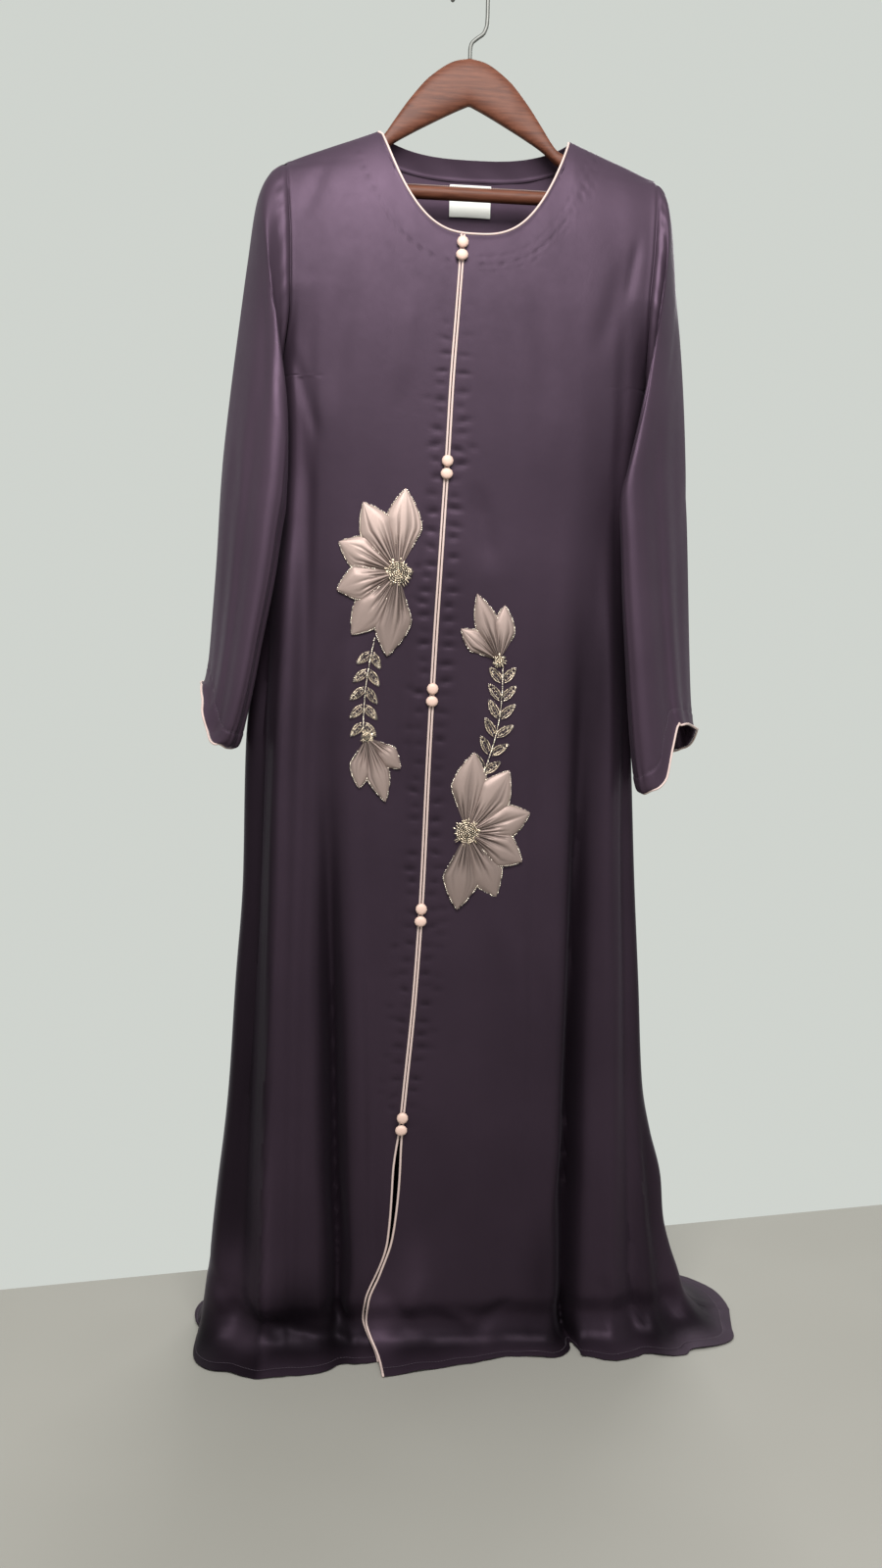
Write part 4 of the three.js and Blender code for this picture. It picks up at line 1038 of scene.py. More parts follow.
SILVER = bead_material("edge_beads", (0.72, 0.63, 0.54), 0.2)
WOOD = wood_material()
STEEL = steel_material()
LABEL = woven_material("label_weave", (0.74, 0.74, 0.70), (0.84, 0.84, 0.80), 2200)
THREAD = woven_material("violet_thread", (0.05, 0.034, 0.05), (0.075, 0.052, 0.075), 3000)
# Dark weave under the flowers' middle beads: painted shade showing in the gaps between them
BEAD_GAP_SHADE = woven_material("bead_gap_shade", (0.050, 0.036, 0.030), (0.085, 0.064, 0.050), 1500)
GRIP = woven_material("grip_strip", (0.42, 0.30, 0.24), (0.60, 0.47, 0.40), 900)


# The five cloth panels
def build_body():
    """Both fronts and the back, as thin shells."""
    halves = {key: half_panel(*key) for key in SECTIONS}

    def sewn(name, half):
        """One panel with its inner side."""
        inner = half["points"] - half["normals"] * CLOTH
        obj = cloth_mesh(f"{name}_cloth", half["points"], inner, SATIN, half["cloth"],
                         shade=half["shade"])
        return worn(obj, "satin", name)

    made = {f"front_{word}": sewn(f"front_{word}", halves[-1, side])
            for side, word in SIDES.items()}
    left, right = halves[1, -1], halves[1, 1]
    made["back"] = sewn("back", {
        key: np.concatenate([left[key][:, :0:-1], right[key]], axis=1)
        for key in ("points", "normals", "cloth", "shade")})
    return halves, made


# Grid of a sleeve: its rows by share of the length, its columns, and the way round its cloth
SLEEVE_SHARES = np.concatenate([np.linspace(0, 0.06, 14), np.linspace(0.065, 0.9, 118),
                                np.linspace(0.904, 1, 28)])
SLEEVE_COLUMNS = 132
SLEEVE_ROUND = 230


def sleeve_surface(side, shares, angles):
    """Points of a sleeve's outer surface by share of its length and angle round it."""
    r = {k: v[:, None] for k, v in SLEEVE[side](shares).items()}
    first = {k: float(v) for k, v in SLEEVE[side](0).items()}
    power = 2 + 0.45 * smooth(0.1, 0.5, shares)[:, None]
    fade = (1 - smooth(0, 0.14, shares))[:, None]
    c, s = np.cos(angles)[None], np.sin(angles)[None]
    near, deep = rounded(c, power), rounded(s, power)
    slant = np.where(deep > 0, -side * r["towards"] * deep, side * r["away"] * -deep)
    mx, mz = (r["ox"] + r["ix"]) / 2, (r["oz"] + r["iz"]) / 2
    x = mx + (r["ox"] - r["ix"]) / 2 * near + slant
    z = mz + (r["oz"] - r["iz"]) / 2 * near
    y = np.where(deep > 0, -r["front"] * deep, r["back"] * -deep)
    fan = (1 - np.cos(angles)) / 2
    seam = np.zeros((len(angles), 3))
    for face in (-1, 1):
        top = float(top_drop(face, side, np.array([1.0]))[0])
        here = angles <= math.pi if face < 0 else angles > math.pi
        drop = top + (UNDERARM - top) * fan[here]
        seam[here] = body_point(face, side, np.ones(here.sum()), drop)
    seam[:, 0] += side * 0.15
    seam[:, 1] *= np.minimum(np.abs(np.sin(angles)) * 5, 1)
    ideal = together(
        (first["ox"] + first["ix"]) / 2 + (first["ox"] - first["ix"]) / 2 * c[0],
        -ARM_DEEP * s[0],
        (first["oz"] + first["iz"]) / 2 + (first["oz"] - first["iz"]) / 2 * c[0])
    shift = (seam - ideal)[None] * fade[..., None]
    p = together(x, y, z) + shift
    degrees = np.degrees(angles)[None]
    pull = np.zeros(p.shape[:2])
    for angle, half, depth, start, whole in own(SLEEVE_FOLDS, side):
        away = np.minimum(np.abs(degrees - angle) / half, 1)
        pull += depth * np.cos(away * math.pi / 2) ** 2 * smooth(start, whole, shares)[:, None]
    middle = together(mx, 0 * mx, mz)
    p = p + unit((middle - p) * (1, 1, 0)) * pull[..., None]
    rim = RIM(np.degrees(angles))[SIDES[side]][None]
    p[..., 2] += (rim - p[..., 2]) * smooth(0.62, 1, shares)[:, None]
    return p


def sleeve_relief(side, points, shares, angles):
    """Fine form of a sleeve: soft creases, easing at the armhole and the hem's stitch line."""
    run = run_along(points)
    to_rim = run[-1][None] - run
    a, s = angles[None], shares[:, None]
    high = 0.5 * bell(run - 5, 3) - 0.9 * bell(run, 2.0)
    cap = bell(run - 9, 6) * (0.5 + 0.5 * np.cos(a))
    high += 0.55 * cap * np.sin(a * 26 + 1.3 * np.sin(a * 7))
    local = np.random.default_rng(40 + side)
    for _ in range(8):
        k, lean = local.integers(2, 6), local.uniform(-5, 5)
        amount = local.uniform(0.1, 0.3) * smooth(0.1, 0.4, s)
        high += amount * np.sin(k * a + lean * s + local.uniform(0, 6))
    for _ in range(9):
        a0, s0 = local.uniform(0, 2 * math.pi), local.uniform(0.18, 0.8)
        turn, size = local.uniform(-3.5, 3.5), local.uniform(0.7, 1.7)
        da = np.angle(np.exp(1j * (a - a0 - turn * (s - s0))))
        high -= size * bell(da, 0.14) * bell(s - s0, local.uniform(0.06, 0.16))
    seam = to_rim - CUFF_LINE
    high += 0.35 * (1 - smooth(-3, 0, seam)) - 0.5 * bell(seam, 1.4)
    high += 0.4 * bell(seam, 6) * np.sin(a * 31 + 2 * np.sin(a * 5 + side))
    return high


def build_sleeve(side):
    """A sleeve from its armhole to its cuff: its points, their normals and its object."""
    word = SIDES[side]
    angles = turns(SLEEVE_COLUMNS)
    p = sleeve_surface(side, SLEEVE_SHARES, angles)
    n = grid_normals(p, closed=True)
    middle = p.mean(axis=1, keepdims=True)
    if ((p - middle) * n).sum() < 0:
        n = -n
    n[0, :, 0] = np.where(n[0, :, 0] * side > 0, 0, n[0, :, 0])
    n = unit(n)
    p = p + n * sleeve_relief(side, p, SLEEVE_SHARES, angles)[..., None]
    tuck = np.exp(-np.arange(len(SLEEVE_SHARES)) / 1.5)[:, None]
    p[..., 0] -= side * 1.3 * tuck
    p -= n * tuck[..., None] * 0.5
    inner = p - n * CLOTH
    cloth = together(angles[None] / (2 * math.pi) * SLEEVE_ROUND, -run_along(p))
    # Painted light: the sleeves are drawn lighter than the panels by a fixed factor
    obj = cloth_mesh(f"sleeve_{word}_cloth", p, inner, SATIN, cloth, closed=True,
                     shade=np.full(p.shape[:2], SLEEVE_PAINTED_LIGHT))
    return p, n, worn(obj, "satin", f"sleeve_{word}")


def turn_frames(path, closed=False):
    """Two directions across a path, turning as little as they can."""
    if closed:
        tangent = unit(np.roll(path, -1, axis=0) - np.roll(path, 1, axis=0))
    else:
        tangent = unit(np.gradient(path, axis=0))
    side = np.array([0.0, 1.0, 0.0]) if abs(tangent[0, 1]) < 0.9 else np.array([1.0, 0, 0])
    first = np.zeros_like(path)
    for k, t in enumerate(tangent):
        side = unit(side - t * (side @ t))
        first[k] = side
    return first, np.cross(tangent, first)


def tube_mesh(name, path, radius, material, sides=10, closed=False):
    """A round bar along a path, with rounded ends where it isn't closed."""
    path = np.asarray(path, float)
    radii = np.broadcast_to(np.asarray(radius, float), (len(path),)).copy()
    a, b = turn_frames(path, closed)
    angle = turns(sides)
    ring = np.cos(angle)[None, :, None] * a[:, None] + np.sin(angle)[None, :, None] * b[:, None]
    points = path[:, None] + ring * radii[:, None, None]
    run = run_along(path)
    uv = together(angle[None] * radii[:, None], run[:, None])
    flat, cloth = points.reshape(-1, 3), uv.reshape(-1, 2)
    if closed:
        faces = quads(len(path), sides, closed=True, looped=True).tolist()
    else:
        faces = capped(len(path), sides)
        ends = [path[0] + unit(path[0] - path[1]) * radii[0] * 0.5,
                path[-1] + unit(path[-1] - path[-2]) * radii[-1] * 0.5]
        flat = np.concatenate([flat, ends])
        cloth = np.concatenate([cloth, [[0, 0], [0, run[-1]]]])
    return make_mesh(name, flat, faces, material, cloth)


def resample(path, step, closed=False):
    """The same line with points a step apart."""
    path = np.asarray(path, float)
    line = np.concatenate([path, path[:1]]) if closed else path
    run = run_along(line)
    count = max(int(run[-1] / step), 3)
    want = np.linspace(0, run[-1], count + 1)
    if closed:
        want = want[:-1]
    return np.stack([np.interp(want, run, line[:, k]) for k in range(3)], axis=1)


def piping_line(edge, normals, outward, inset=0.5, closed=False):
    """Centre line of a piping beside an edge of cloth, square to it on its outer side."""
    centre = edge - normals * CLOTH * inset
    if closed:
        t = unit(np.roll(edge, -1, axis=0) - np.roll(edge, 1, axis=0))
    else:
        t = unit(np.gradient(centre, axis=0))
    away = unit(outward - t * (outward * t).sum(1, keepdims=True))
    return centre + away * (PIPE + PIPE_GAP)


def build_piping(halves, sleeves):
    """Satin piping round the cuffs, down both fronts and round the neck."""

    def pipe(place, line, step, closed=False):
        """One piping along its centre line."""
        path = resample(line, step, closed)
        obj = tube_mesh(f"{place}_satin", path, PIPE, PIPING, 9, closed)
        worn(obj, "blush_satin", place)

    for word, (p, n, _) in zip(SIDES.values(), sleeves):
        line = piping_line(p[-1], n[-1], p[-1] - p[-4], closed=True)
        pipe(f"cuff_piping_{word}", line, 2.2, True)
    necks = []
    for side, word in SIDES.items():
        half = halves[-1, side]
        p, n = half["points"], half["normals"]
        line = piping_line(p[2:, 0], n[2:, 0], p[2:, 0] - p[2:, 1], 0.3)
        pipe(f"front_piping_{word}", line, 4)
        rim = slice(half["neck"] + 1)
        necks.append(piping_line(p[0, rim], n[0, rim], p[0, rim] - p[2, rim]))
    pipe("neck_piping", np.concatenate([necks[0][::-1], necks[1]]), 2.2)


def section_y(face, x, z):
    """Depth of the body's outer surface at places seen from the front."""
    x, z = np.broadcast_arrays(np.asarray(x, float), np.asarray(z, float))
    flat = np.zeros(x.size)
    for k, (px, j, t) in enumerate(zip(x.ravel(), *row_at(z.ravel()))):
        middle = SECTIONS[face, 1][j, 0, 0]
        rows = SECTIONS[face, 1 if px >= middle else -1]
        line = rows[j] * (1 - t) + rows[j + 1] * t
        order = line if line[-1, 0] > line[0, 0] else line[::-1]
        flat[k] = np.interp(px, order[:, 0], order[:, 1])
    return flat.reshape(x.shape)


# Petals of padded satin: rows and columns, height of the padding, gathers, widest angle kept,
# lift of every second petal over its neighbours
PETAL_GRID = (34, 43)
PETAL_PUFF = 5
PETAL_GATHERS = 7
PETAL_SPREAD = 40
PETAL_ORDER = 1.1
# Steps of the petals' dotted edges, of the rings of beads in the middles and of the beads in a
# ring, of those along the stems and down a leaf, and of the stitches
EDGE_STEP = 2.1
DOME_STEP = 2.2
RING_STEP = 2.3
STEM_STEP = 2.3
BARB_STEP = 1.9
STITCH_STEP = 3.4


def build_petal(flower, n, local):
    """One petal: an outline like the solid's, puffed, and gathered towards the middle."""
    name, fx, fz, at, lengths, half_width, eye, painted_light_and_shade = flower
    a = math.radians(at[n])
    axis = np.array([math.cos(a), math.sin(a)])
    start, long = eye * 0.72, lengths[n]
    rising = 1 if at[1] > at[0] else -1
    lean = []
    for m in (n - rising, n + rising):
        gap = abs(at[m] - at[n]) if 0 <= m < len(at) else PETAL_SPREAD
        lean.append(math.tan(math.radians(min(gap, PETAL_SPREAD) / 2 + 3.0)))
    s, t = np.linspace(0, 1, PETAL_GRID[0]), np.linspace(-1, 1, PETAL_GRID[1])[None]
    r = start + (long - start) * s
    tip = np.clip((s - 0.5) / 0.5, 0, 1)
    leaf = half_width * 1.1 * (1 - tip ** 1.7) + 0.5
    halves = [np.minimum(r * k, leaf) for k in lean]
    skew = local.uniform(-0.22, 0.22) * half_width * s ** 2.5
    half = np.where(t < 0, halves[0][:, None], halves[1][:, None])
    across = half * t + skew[:, None]
    r, s = r[:, None], s[:, None]
    x = fx + axis[0] * r - axis[1] * across
    z = fz + axis[1] * r + axis[0] * across
    base = section_y(-1, x, z)
    high = 0.9 + PETAL_PUFF * (1 - np.abs(t) ** 3.2) * np.sin(math.pi * (0.14 + 0.76 * s))
    # Painted light and shade: the flower's factor, petals pointing up painted lighter, and a little
    # random tone per petal
    shade = np.full(high.shape, painted_light_and_shade * (0.84 + 0.16 * math.sin(a)) * local.uniform(0.93, 1.07))
    for k in range(PETAL_GATHERS):
        t0, wide = -0.84 + 0.28 * k + local.uniform(-0.1, 0.1), local.uniform(0.055, 0.11)
        reach, deep = local.uniform(0.4, 1.05), local.uniform(1.2, 3.4)
        bend = local.uniform(-0.2, 0.2) * s
        trough = bell(t - t0 - bend, wide * (0.9 + 0.5 * s))
        fold = deep * trough * (1 - smooth(0.2, reach, s))
        high -= fold
        # Painted shade in the troughs of the gathers
        shade *= 1 - 0.2 * np.minimum(fold, 3)
    high += 0.3 * bell(np.abs(t) - 0.9, 0.06) * smooth(0.2, 0.5, s)
    high = np.maximum(high, 0.35)
    order = PETAL_ORDER * (n % 2)
    top = together(x, base - LIFT - high - order, z)
    low = together(x, base + 0.25, z)
    cloth = together(across, r)
    # Painted shade along the petal's sides near the middle, where it meets its neighbours
    shade *= 1 - 0.35 * smooth(0.8, 1, np.abs(t)) * (1 - smooth(0.4, 0.7, s))
    obj = cloth_mesh(f"petal_{name}_{n + 1}_satin", top, low, PETAL, cloth, shade=shade)
    worn(obj, "petal_satin", f"petal_{name}_{n + 1}")
    return top


ICO_T = (1 + math.sqrt(5)) / 2


def icosphere():
    """A small round bead: an icosahedron divided once."""
    corners = [(a, b) for b in (ICO_T, -ICO_T) for a in (-1, 1)]
    v = [(a, b, 0) for a, b in corners]
    v += [(0, a, b) for a, b in corners] + [(b, 0, a) for a, b in corners]
    f = [(0, 11, 5), (0, 5, 1), (0, 1, 7), (0, 7, 10), (0, 10, 11), (1, 5, 9), (5, 11, 4),
         (11, 10, 2), (10, 7, 6), (7, 1, 8), (3, 9, 4), (3, 4, 2), (3, 2, 6), (3, 6, 8),
         (3, 8, 9), (4, 9, 5), (2, 4, 11), (6, 2, 10), (8, 6, 7), (9, 8, 1)]
    points = [np.array(p) / math.sqrt(1 + ICO_T ** 2) for p in v]
    middles, faces = {}, []

    def middle(a, b):
        key = (min(a, b), max(a, b))
        if key not in middles:
            m = points[a] + points[b]
            points.append(m / np.linalg.norm(m))
            middles[key] = len(points) - 1
        return middles[key]

    for a, b, c in f:
        ab, bc, ca = middle(a, b), middle(b, c), middle(c, a)
        faces += [(a, ab, ca), (b, bc, ab), (c, ca, bc), (ab, bc, ca)]
    return np.array(points), np.array(faces)


BEAD_POINTS, BEAD_FACES = icosphere()


def bead_mesh(name, beads, material):
    """Joined beads: each has a centre, a direction, a half length and a radius."""
    points, faces = [], []
    for count, (centre, way, long, radius) in enumerate(beads):
        w = np.asarray(way, float) / np.linalg.norm(way)
        other = np.cross(w, (0, 1, 0) if abs(w[1]) < 0.9 else (1, 0, 0))
        other /= np.linalg.norm(other)
        third = np.cross(w, other)
        ball = BEAD_POINTS[:, :1] * w * long + BEAD_POINTS[:, 1:2] * other * radius \
            + BEAD_POINTS[:, 2:] * third * radius
        points.append(np.asarray(centre) + ball)
        faces.append(BEAD_FACES + count * len(BEAD_POINTS))
    return make_mesh(name, np.concatenate(points), np.concatenate(faces).tolist(), material)


def build_flowers():
    """Petals with their dotted edges, and domes of beads in the middles over dark domes of painted
    shade.
    """
    local = np.random.default_rng(5)
    edge, ground = [], []
    for flower in FLOWERS:
        name, fx, fz, at, eye = *flower[:4], flower[6]
        for n in range(len(at)):
            top = build_petal(flower, n, local)
            for column in (0, -1):
                dotted = resample(top[8:, column] + np.array([0, -0.35, 0]), EDGE_STEP)
                for p, way in zip(dotted, np.diff(dotted, axis=0)):
                    if local.random() < 0.82:
                        edge.append((p + local.normal(0, 0.12, 3), way, 0.95, 0.78))
        middle = []
        y = float(section_y(-1, fx, fz))
        deep = 5.2 if eye > 8 else 4.0

        def spot(radius, turn, lift):
            """A place in the flower's middle, lifted off the cloth."""
            return np.array([fx + radius * math.cos(turn), y - LIFT - lift,
                             fz + radius * math.sin(turn)])

        for ring in range(int(eye / DOME_STEP) + 1):
            radius = ring * DOME_STEP
            count = max(int(2 * math.pi * radius / RING_STEP), 1)
            lift = deep * math.sqrt(max(1 - (radius / (eye + 2.5)) ** 2, 0))
            for k in range(count):
                turn = 2 * math.pi * (k + 0.5 * (ring % 2)) / count + local.normal(0, 0.04)
                p = spot(radius, turn, lift - local.normal(0, 0.15))
                way = (-math.sin(turn), 0.1 * local.normal(), math.cos(turn))
                middle.append((p, way, 1.3, 0.82))
        for k in range(int(eye * 3.2)):
            turn = local.uniform(0, 2 * math.pi)
            radius = eye * local.uniform(0.95, 1.22)
            p = spot(radius, turn, local.uniform(2.4, 4.2))
            way = (math.cos(turn), local.uniform(0.1, 0.4), math.sin(turn))
            middle.append((p, way, local.uniform(1.6, 2.4), 0.62))
        # A dark dome under the beads, as painted shade in the gaps between them
        ground.append(((fx, y - LIFT, fz), (0, 1, 0), deep - 0.7, eye + 0.5))
        obj = bead_mesh(f"flower_middle_{name}_beads", middle, GOLD)
        worn(obj, "gold_beads", f"flower_middle_{name}")
    worn(bead_mesh("petal_edge_beads", edge, SILVER), "gold_beads")
    worn(bead_mesh("flower_middle_gap_shade", ground, BEAD_GAP_SHADE), "gold_beads")


def build_sprays():
    """Beaded stems with pairs of pointed leaves, each with a bright serrated border."""
    local = np.random.default_rng(9)
    rims = []
    for name, (ax, az), (bx, bz), bow, pairs, up, long, half in SPRAYS:
        beads = []

        def stem(t):
            """A point of the stem, from its first end to its second."""
            return np.array([ax + (bx - ax) * t + bow * math.sin(math.pi * t), az + (bz - az) * t])

        def put(into, place, way, high, stretch, size):
            """A bead on the cloth, a little above it."""
            y = float(section_y(-1, *place)) - LIFT - high
            into.append(((place[0], y, place[1]), (way[0], 0, way[1]), stretch, size))

        for t in np.linspace(0, 1, int(abs(az - bz) / STEM_STEP)):
            put(rims, stem(t) + local.normal(0, 0.12, 2), (0.1, 1), 2.3, 1.25, 0.85)
        for k in range(pairs):
            t = (k + 0.75) / (pairs + 0.2)
            size = long * (0.9 + 0.1 * math.sin(math.pi * (k + 0.5) / pairs))
            along_stem = (stem(t - 0.05) - stem(t + 0.05)) * up
            lean = math.atan2(along_stem[1], along_stem[0])
            for hand in (1, -1):
                turn = lean - math.radians(hand * (LEAF_TURN + local.normal(0, 3))) * up
                way = np.array([math.cos(turn), math.sin(turn)])
                over = np.array([-way[1], way[0]])
                root = stem(t) + way * 1.5
                count = int(size / BARB_STEP)
                for m in range(count):
                    s = (m + 0.5) / count
                    rib = root + way * size * s
                    wide = half * math.sin(math.pi * (0.06 + 0.9 * s) ** 0.85) ** 0.9
                    for edge in (-1, 1):
                        barb = way + over * edge * 0.5
                        put(beads, rib + over * wide * edge, barb, 1.5, 1.5, 0.46)
                        if wide > 2.2:
                            put(beads, rib + over * wide * edge * 0.45, barb, 0.9, 1.3, 0.4)
                    if m % 2:
                        put(rims, rib, way, 1.3, 0.8, 0.45)
                put(rims, root + way * size, way, 1.4, 1.7, 0.5)
        obj = bead_mesh(f"leaf_spray_{name}_beads", beads, GOLD)
        worn(obj, "gold_beads", f"leaf_spray_{name}")
    worn(bead_mesh("leaf_spray_borders", rims, SILVER), "gold_beads")


# Grid of a button: rings from pole to pole, columns round
BUTTON_GRID = (13, 36)


def build_buttons():
    """Covered buttons: domed satin with a tucked edge and fine gathers at the rim."""
    rings, sides = BUTTON_GRID
    turn = turns(sides)
    a = math.pi * np.arange(1, rings)[:, None] / rings
    dome = np.copysign(np.abs(np.cos(a)) ** 0.9, np.cos(a)) * BUTTON_DEEP
    for number, middle in enumerate(BUTTON_PAIRS):
        tuck = 1 + 0.022 * np.sin(turn * 11 + number) * smooth(0.62, 0.95, np.sin(a))
        r = BUTTON * np.sin(a) ** 0.8 * tuck
        for k, word, squash in ((1, "upper", 1.0), (-1, "lower", 0.94)):
            z0 = middle + k * BUTTON_STEP
            left, right = (body_point(-1, side, 0.0, -z0) for side in SIDES)
            x0 = (left[0] + right[0]) / 2
            y0 = min(left[1], right[1]) - 0.8 - BUTTON_DEEP
            points = together(x0 + r * np.cos(turn) * (2 - squash), y0 - dome,
                              z0 + r * np.sin(turn) * squash)
            ends = [[x0, y0 - BUTTON_DEEP, z0], [x0, y0 + BUTTON_DEEP, z0]]
            flat = np.concatenate([points.reshape(-1, 3), ends])
            obj = make_mesh(f"button_{number + 1}_{word}_satin", flat, capped(rings - 1, sides),
                            BLUSH, flat[:, [0, 2]])
            worn(obj, "blush_satin", f"button_{number + 1}_{word}")


# Facing: its rows by depth below the neck's edge, the turned edge, its thickness
FACING_ROWS = np.linspace(0.4, 21.5, 18)
FACING_TURN = 20
FACING_THICK = 0.5


def build_facing(halves):
    """Shaped facing inside the back of the neck, turned under at its lower edge."""
    lift = CLOTH + 0.45 + 0.5 * bell(FACING_ROWS - FACING_TURN, 1.6)[:, None]
    grids = []
    for side in SIDES:
        half = halves[1, side]
        shares = half["shares"][:half["neck"] + 1]
        drop = top_drop(1, side, shares)[None] + FACING_ROWS[:, None]
        share = np.repeat(shares[None], len(FACING_ROWS), axis=0)
        p = body_point(1, side, share, drop)
        n = grid_normals(p) * side
        grid = np.stack([p - n * lift[..., None], n])
        grids.append(grid[:, :, :0:-1] if side < 0 else grid)
    p, n = np.concatenate(grids, axis=2)[:, :, 2:-2]
    p = p + n * (0.22 * np.sin(p[..., :1] / 7.5 + p[..., 2:] / 6))
    cloth = p[..., [0, 2]]
    obj = cloth_mesh("back_neck_facing_cloth", p, p - n * FACING_THICK, SATIN, cloth)
    worn(obj, "satin", "back_neck_facing")


# Label: middle and half width, top and lower edge, heights between which it comes free,
# thickness
LABEL_ACROSS = (6, 23)
LABEL_ENDS = (-220.5, -254)
LABEL_FREE = (-255, -226)
LABEL_THICK = 0.5


def build_label():
    """Plain woven label, sewn along its top, its lower end a little free."""
    middle, half = LABEL_ACROSS
    x = middle + half * np.linspace(-1, 1, 22)[None]
    x, z = np.broadcast_arrays(x, np.linspace(*LABEL_ENDS, 16)[:, None])
    y = section_y(1, x, z) - CLOTH - LIFT - 0.4
    free = 1 - smooth(*LABEL_FREE, z)
    y = y - 2.2 * free - 0.35 * np.sin(x / 9 + 1) * free
    top, low = together(x, y - LABEL_THICK, z), together(x, y, z)
    obj = cloth_mesh("neck_label_weave", top, low, LABEL, together(x, z))
    worn(obj, "woven_label", "neck_label")


def build_hanger():
    """Wooden arms with rounded edges, the bar with its grip strip, and the steel hook."""
    count, sides = ARMS_GRID
    stations = np.linspace(-ARMS_HALF, ARMS_HALF, count)
    a = ARMS(np.abs(stations))
    turn = turns(sides)
    c, s = rounded(np.cos(turn), 2.7), rounded(np.sin(turn), 2.7)
    middle, tall = (a["top"] + a["bottom"]) / 2, (a["top"] - a["bottom"]) / 2
    points = together(stations[:, None], a["half"][:, None] * c[None],
                      middle[:, None] + tall[:, None] * s[None])
    ends = np.array([[stations[0], 0, middle[0]], [stations[-1], 0, middle[-1]]])
    flat = np.concatenate([points.reshape(-1, 3), ends])
    obj = make_mesh("hanger_arms_wood", flat, capped(count, sides), WOOD)
    worn(obj, "brown_wood", "hanger_arms")
    bar = [(x, 0, BAR_Z) for x in np.linspace(-BAR_HALF, BAR_HALF, 60)]
    worn(tube_mesh("hanger_bar_wood", bar, BAR_RADIUS, WOOD, 28), "brown_wood", "hanger_bar")
    ribs = [((x, -1.2, BAR_Z + BAR_RADIUS + 0.15), (0, 1, 0), 2.6, 0.75)
            for x in np.arange(-GRIP_HALF, GRIP_HALF + 0.1, 2.2)]
    worn(bead_mesh("hanger_bar_grip", ribs, GRIP), "brown_wood")
    angles = math.pi * np.arange(25) / 24
    arc = [(BEND * math.cos(a), -HOOK_BEND + BEND * math.sin(a)) for a in angles]
    path = resample([(x, 0, z) for x, z in HOOK_SHANK + arc + HOOK_END], 1.6)
    for _ in range(2):
        path[1:-1] = (path[:-2] + path[1:-1] * 2 + path[2:]) / 4
    path = np.concatenate([path, [(x, 0, z) for x, z in HOOK_TIP]])
    radii = np.full(len(path), HOOK_WIRE)
    radii[-3:] = TIP_RADII
    worn(tube_mesh("hanger_hook_steel", path, radii, STEEL, 20), "steel", "hanger_hook")


def build_stitches(halves, sleeves):
    """Topstitching of the hem and the cuffs."""
    stitches = []

    def sew(line, normals):
        """Stitches along a line of the cloth, lying on its outer side."""
        path = resample(line, STITCH_STEP)
        out = np.asarray(normals)
        for k in range(len(path) - 1):
            way = path[k + 1] - path[k]
            centre = (path[k] + path[k + 1]) / 2
            share = min(int(k / (len(path) - 1) * len(out)), len(out) - 1)
            stitches.append((centre + out[share] * 0.12, way, STITCH_STEP * 0.36, 0.24))

    for (face, _), half in halves.items():
        low = LOW_DROPS[face]
        row = len(half["points"]) - len(low) + int(np.argmin(np.abs(low - HEM_LINE)))
        sew(half["points"][row], half["normals"][row])
    for p, n, _ in sleeves:
        run = run_along(p)
        rows = np.argmin(np.abs(run[-1] - run - CUFF_LINE), axis=0)
        column = np.arange(p.shape[1])
        line, out = p[rows, column], n[rows, column]
        sew(np.concatenate([line, line[:1]]), np.concatenate([out, out[:1]]))
    worn(bead_mesh("hem_stitches", stitches, THREAD), "satin")


# Floor: half width, front edge, and the back edge at its left and right end
FLOOR = (4000, -2400, -465, 855)
# Colour and strength of the light from all round
ROUND_LIGHT = ((0.66, 0.69, 0.65, 1), 0.95)
# Lights: place, target, size, power, colour
LIGHTS = {
    "ceiling": ((-0.16, -1.45, 0.6), (0, 0, -0.5), (1.4, 0.9), 58, (1.0, 0.985, 0.97)),
    "front": ((1.3, -2.6, 0.1), (0, 0, -0.5), (1.6, 1.2), 6, (0.97, 0.98, 1.0)),
    "rear": ((0.6, 2.2, 0.9), (0, 0, -0.7), (1.6, 1.2), 38, (1.0, 0.99, 0.98)),
}
# The photograph's own view: place in millimetres, yaw, pitch and roll in degrees, lens
CAMERA_PLACE = (-150.5, -1432.1, -773.0)
CAMERA_TURN = (5.35, 4.5, 1.1)
CAMERA_LENS = 29.25


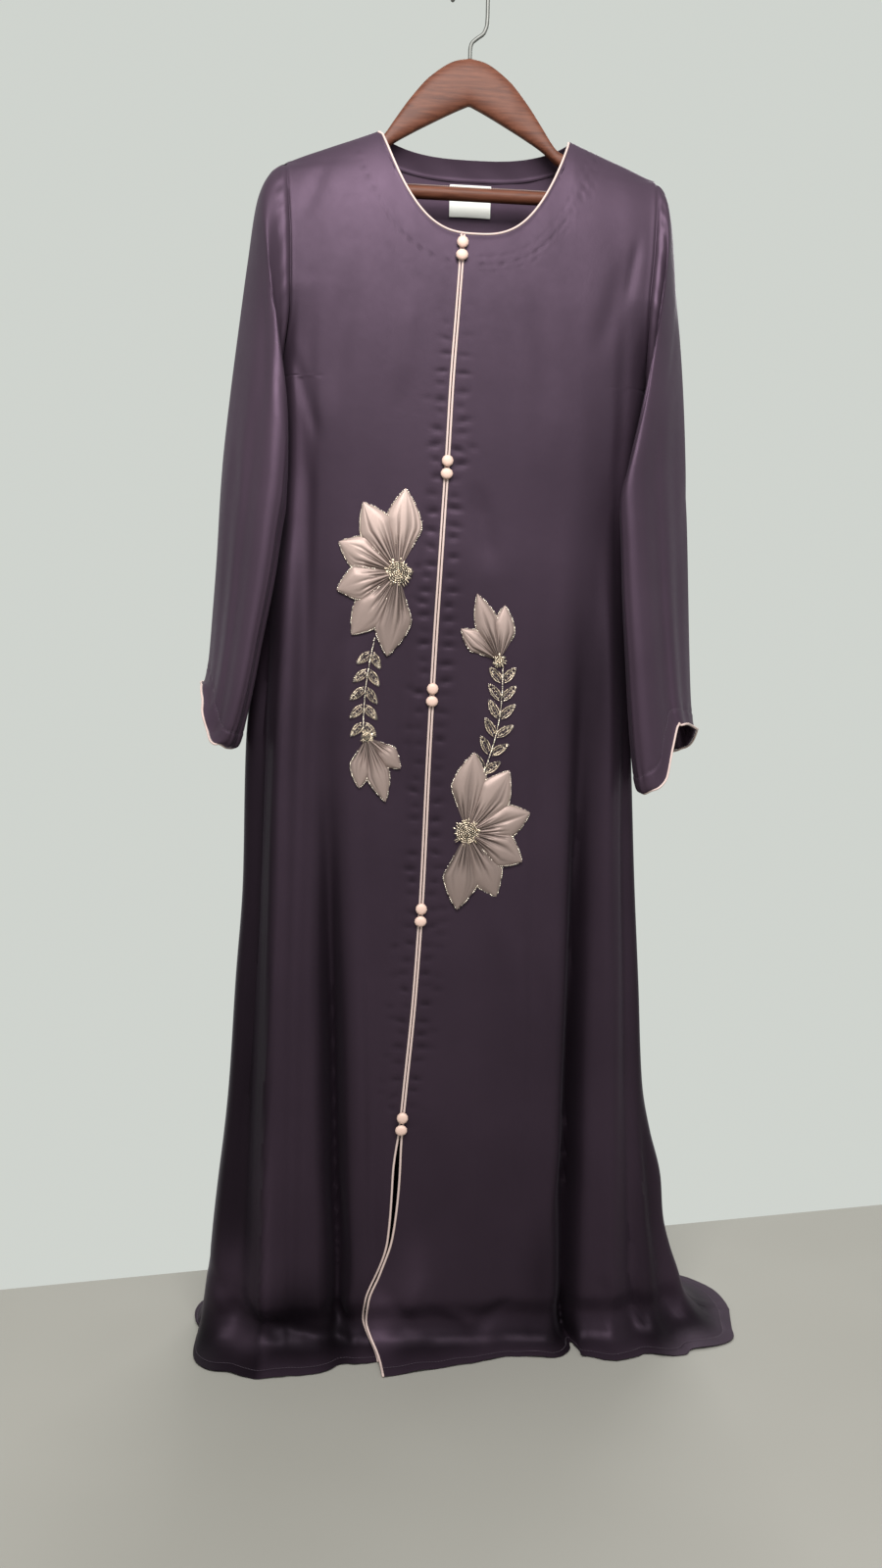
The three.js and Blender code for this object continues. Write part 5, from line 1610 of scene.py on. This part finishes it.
def build_stage():
    """Pale floor with its back edge at a slant, and pale light from all round."""
    half, front, left, right = FLOOR
    points = [(x, y, FLOOR_Z) for x, y in ((-half, front), (half, front), (half, right), (-half, left))]
    material, tree, shader = new_material("pale_floor", Roughness=0.7)
    noise = texture(tree, "TexNoise", Scale=3)
    pale = ramp(tree, noise.outputs["Fac"], (0.3, (0.275, 0.265, 0.24)), (0.7, (0.295, 0.285, 0.26)))
    tree.links.new(pale, shader.inputs["Base Color"])
    make_mesh("floor", points, [(0, 1, 2, 3)], material)
    world = bpy.data.worlds.new("pale_light")
    bpy.context.scene.world = world
    world.use_nodes = True
    background = world.node_tree.nodes["Background"]
    for key, value in zip(("Color", "Strength"), ROUND_LIGHT):
        background.inputs[key].default_value = value


def build_lights():
    """Large soft lights, unseen by the camera."""
    for name, (place, target, size, power, colour) in LIGHTS.items():
        data = bpy.data.lights.new(name, "AREA")
        data.shape = "RECTANGLE"
        data.size, data.size_y = size
        data.energy = power
        data.color = colour
        light = bpy.data.objects.new(name, data)
        light.location = place
        light.rotation_mode = "QUATERNION"
        way = Vector(target) - Vector(place)
        light.rotation_quaternion = way.to_track_quat("-Z", "Y")
        light.visible_camera = False
        bpy.context.scene.collection.objects.link(light)


def build_camera():
    """The camera at the photograph's viewing angle."""
    yaw, pitch, roll = (math.radians(v) for v in CAMERA_TURN)
    ahead = np.array([math.sin(yaw) * math.cos(pitch), math.cos(yaw) * math.cos(pitch),
                      -math.sin(pitch)])
    level = np.array([math.cos(yaw), -math.sin(yaw), 0])
    steep = np.cross(level, ahead)
    right = level * math.cos(roll) + steep * math.sin(roll)
    up = steep * math.cos(roll) - level * math.sin(roll)
    data = bpy.data.cameras.new("camera")
    data.lens = CAMERA_LENS
    data.sensor_width = 36
    camera = bpy.data.objects.new("camera", data)
    matrix = np.identity(4)
    matrix[:3] = np.stack([right, up, -ahead, np.array(CAMERA_PLACE) * MM], axis=1)
    camera.matrix_world = Matrix(matrix.tolist())
    bpy.context.scene.collection.objects.link(camera)
    bpy.context.scene.camera = camera


build_camera()
HALVES, PANELS = build_body()
SLEEVES = [build_sleeve(side) for side in SIDES]
build_piping(HALVES, SLEEVES)
build_flowers()
build_sprays()
build_buttons()
build_facing(HALVES)
build_label()
build_hanger()
build_stitches(HALVES, SLEEVES)
build_stage()
build_lights()

bpy.context.scene.view_settings.view_transform = "Standard"
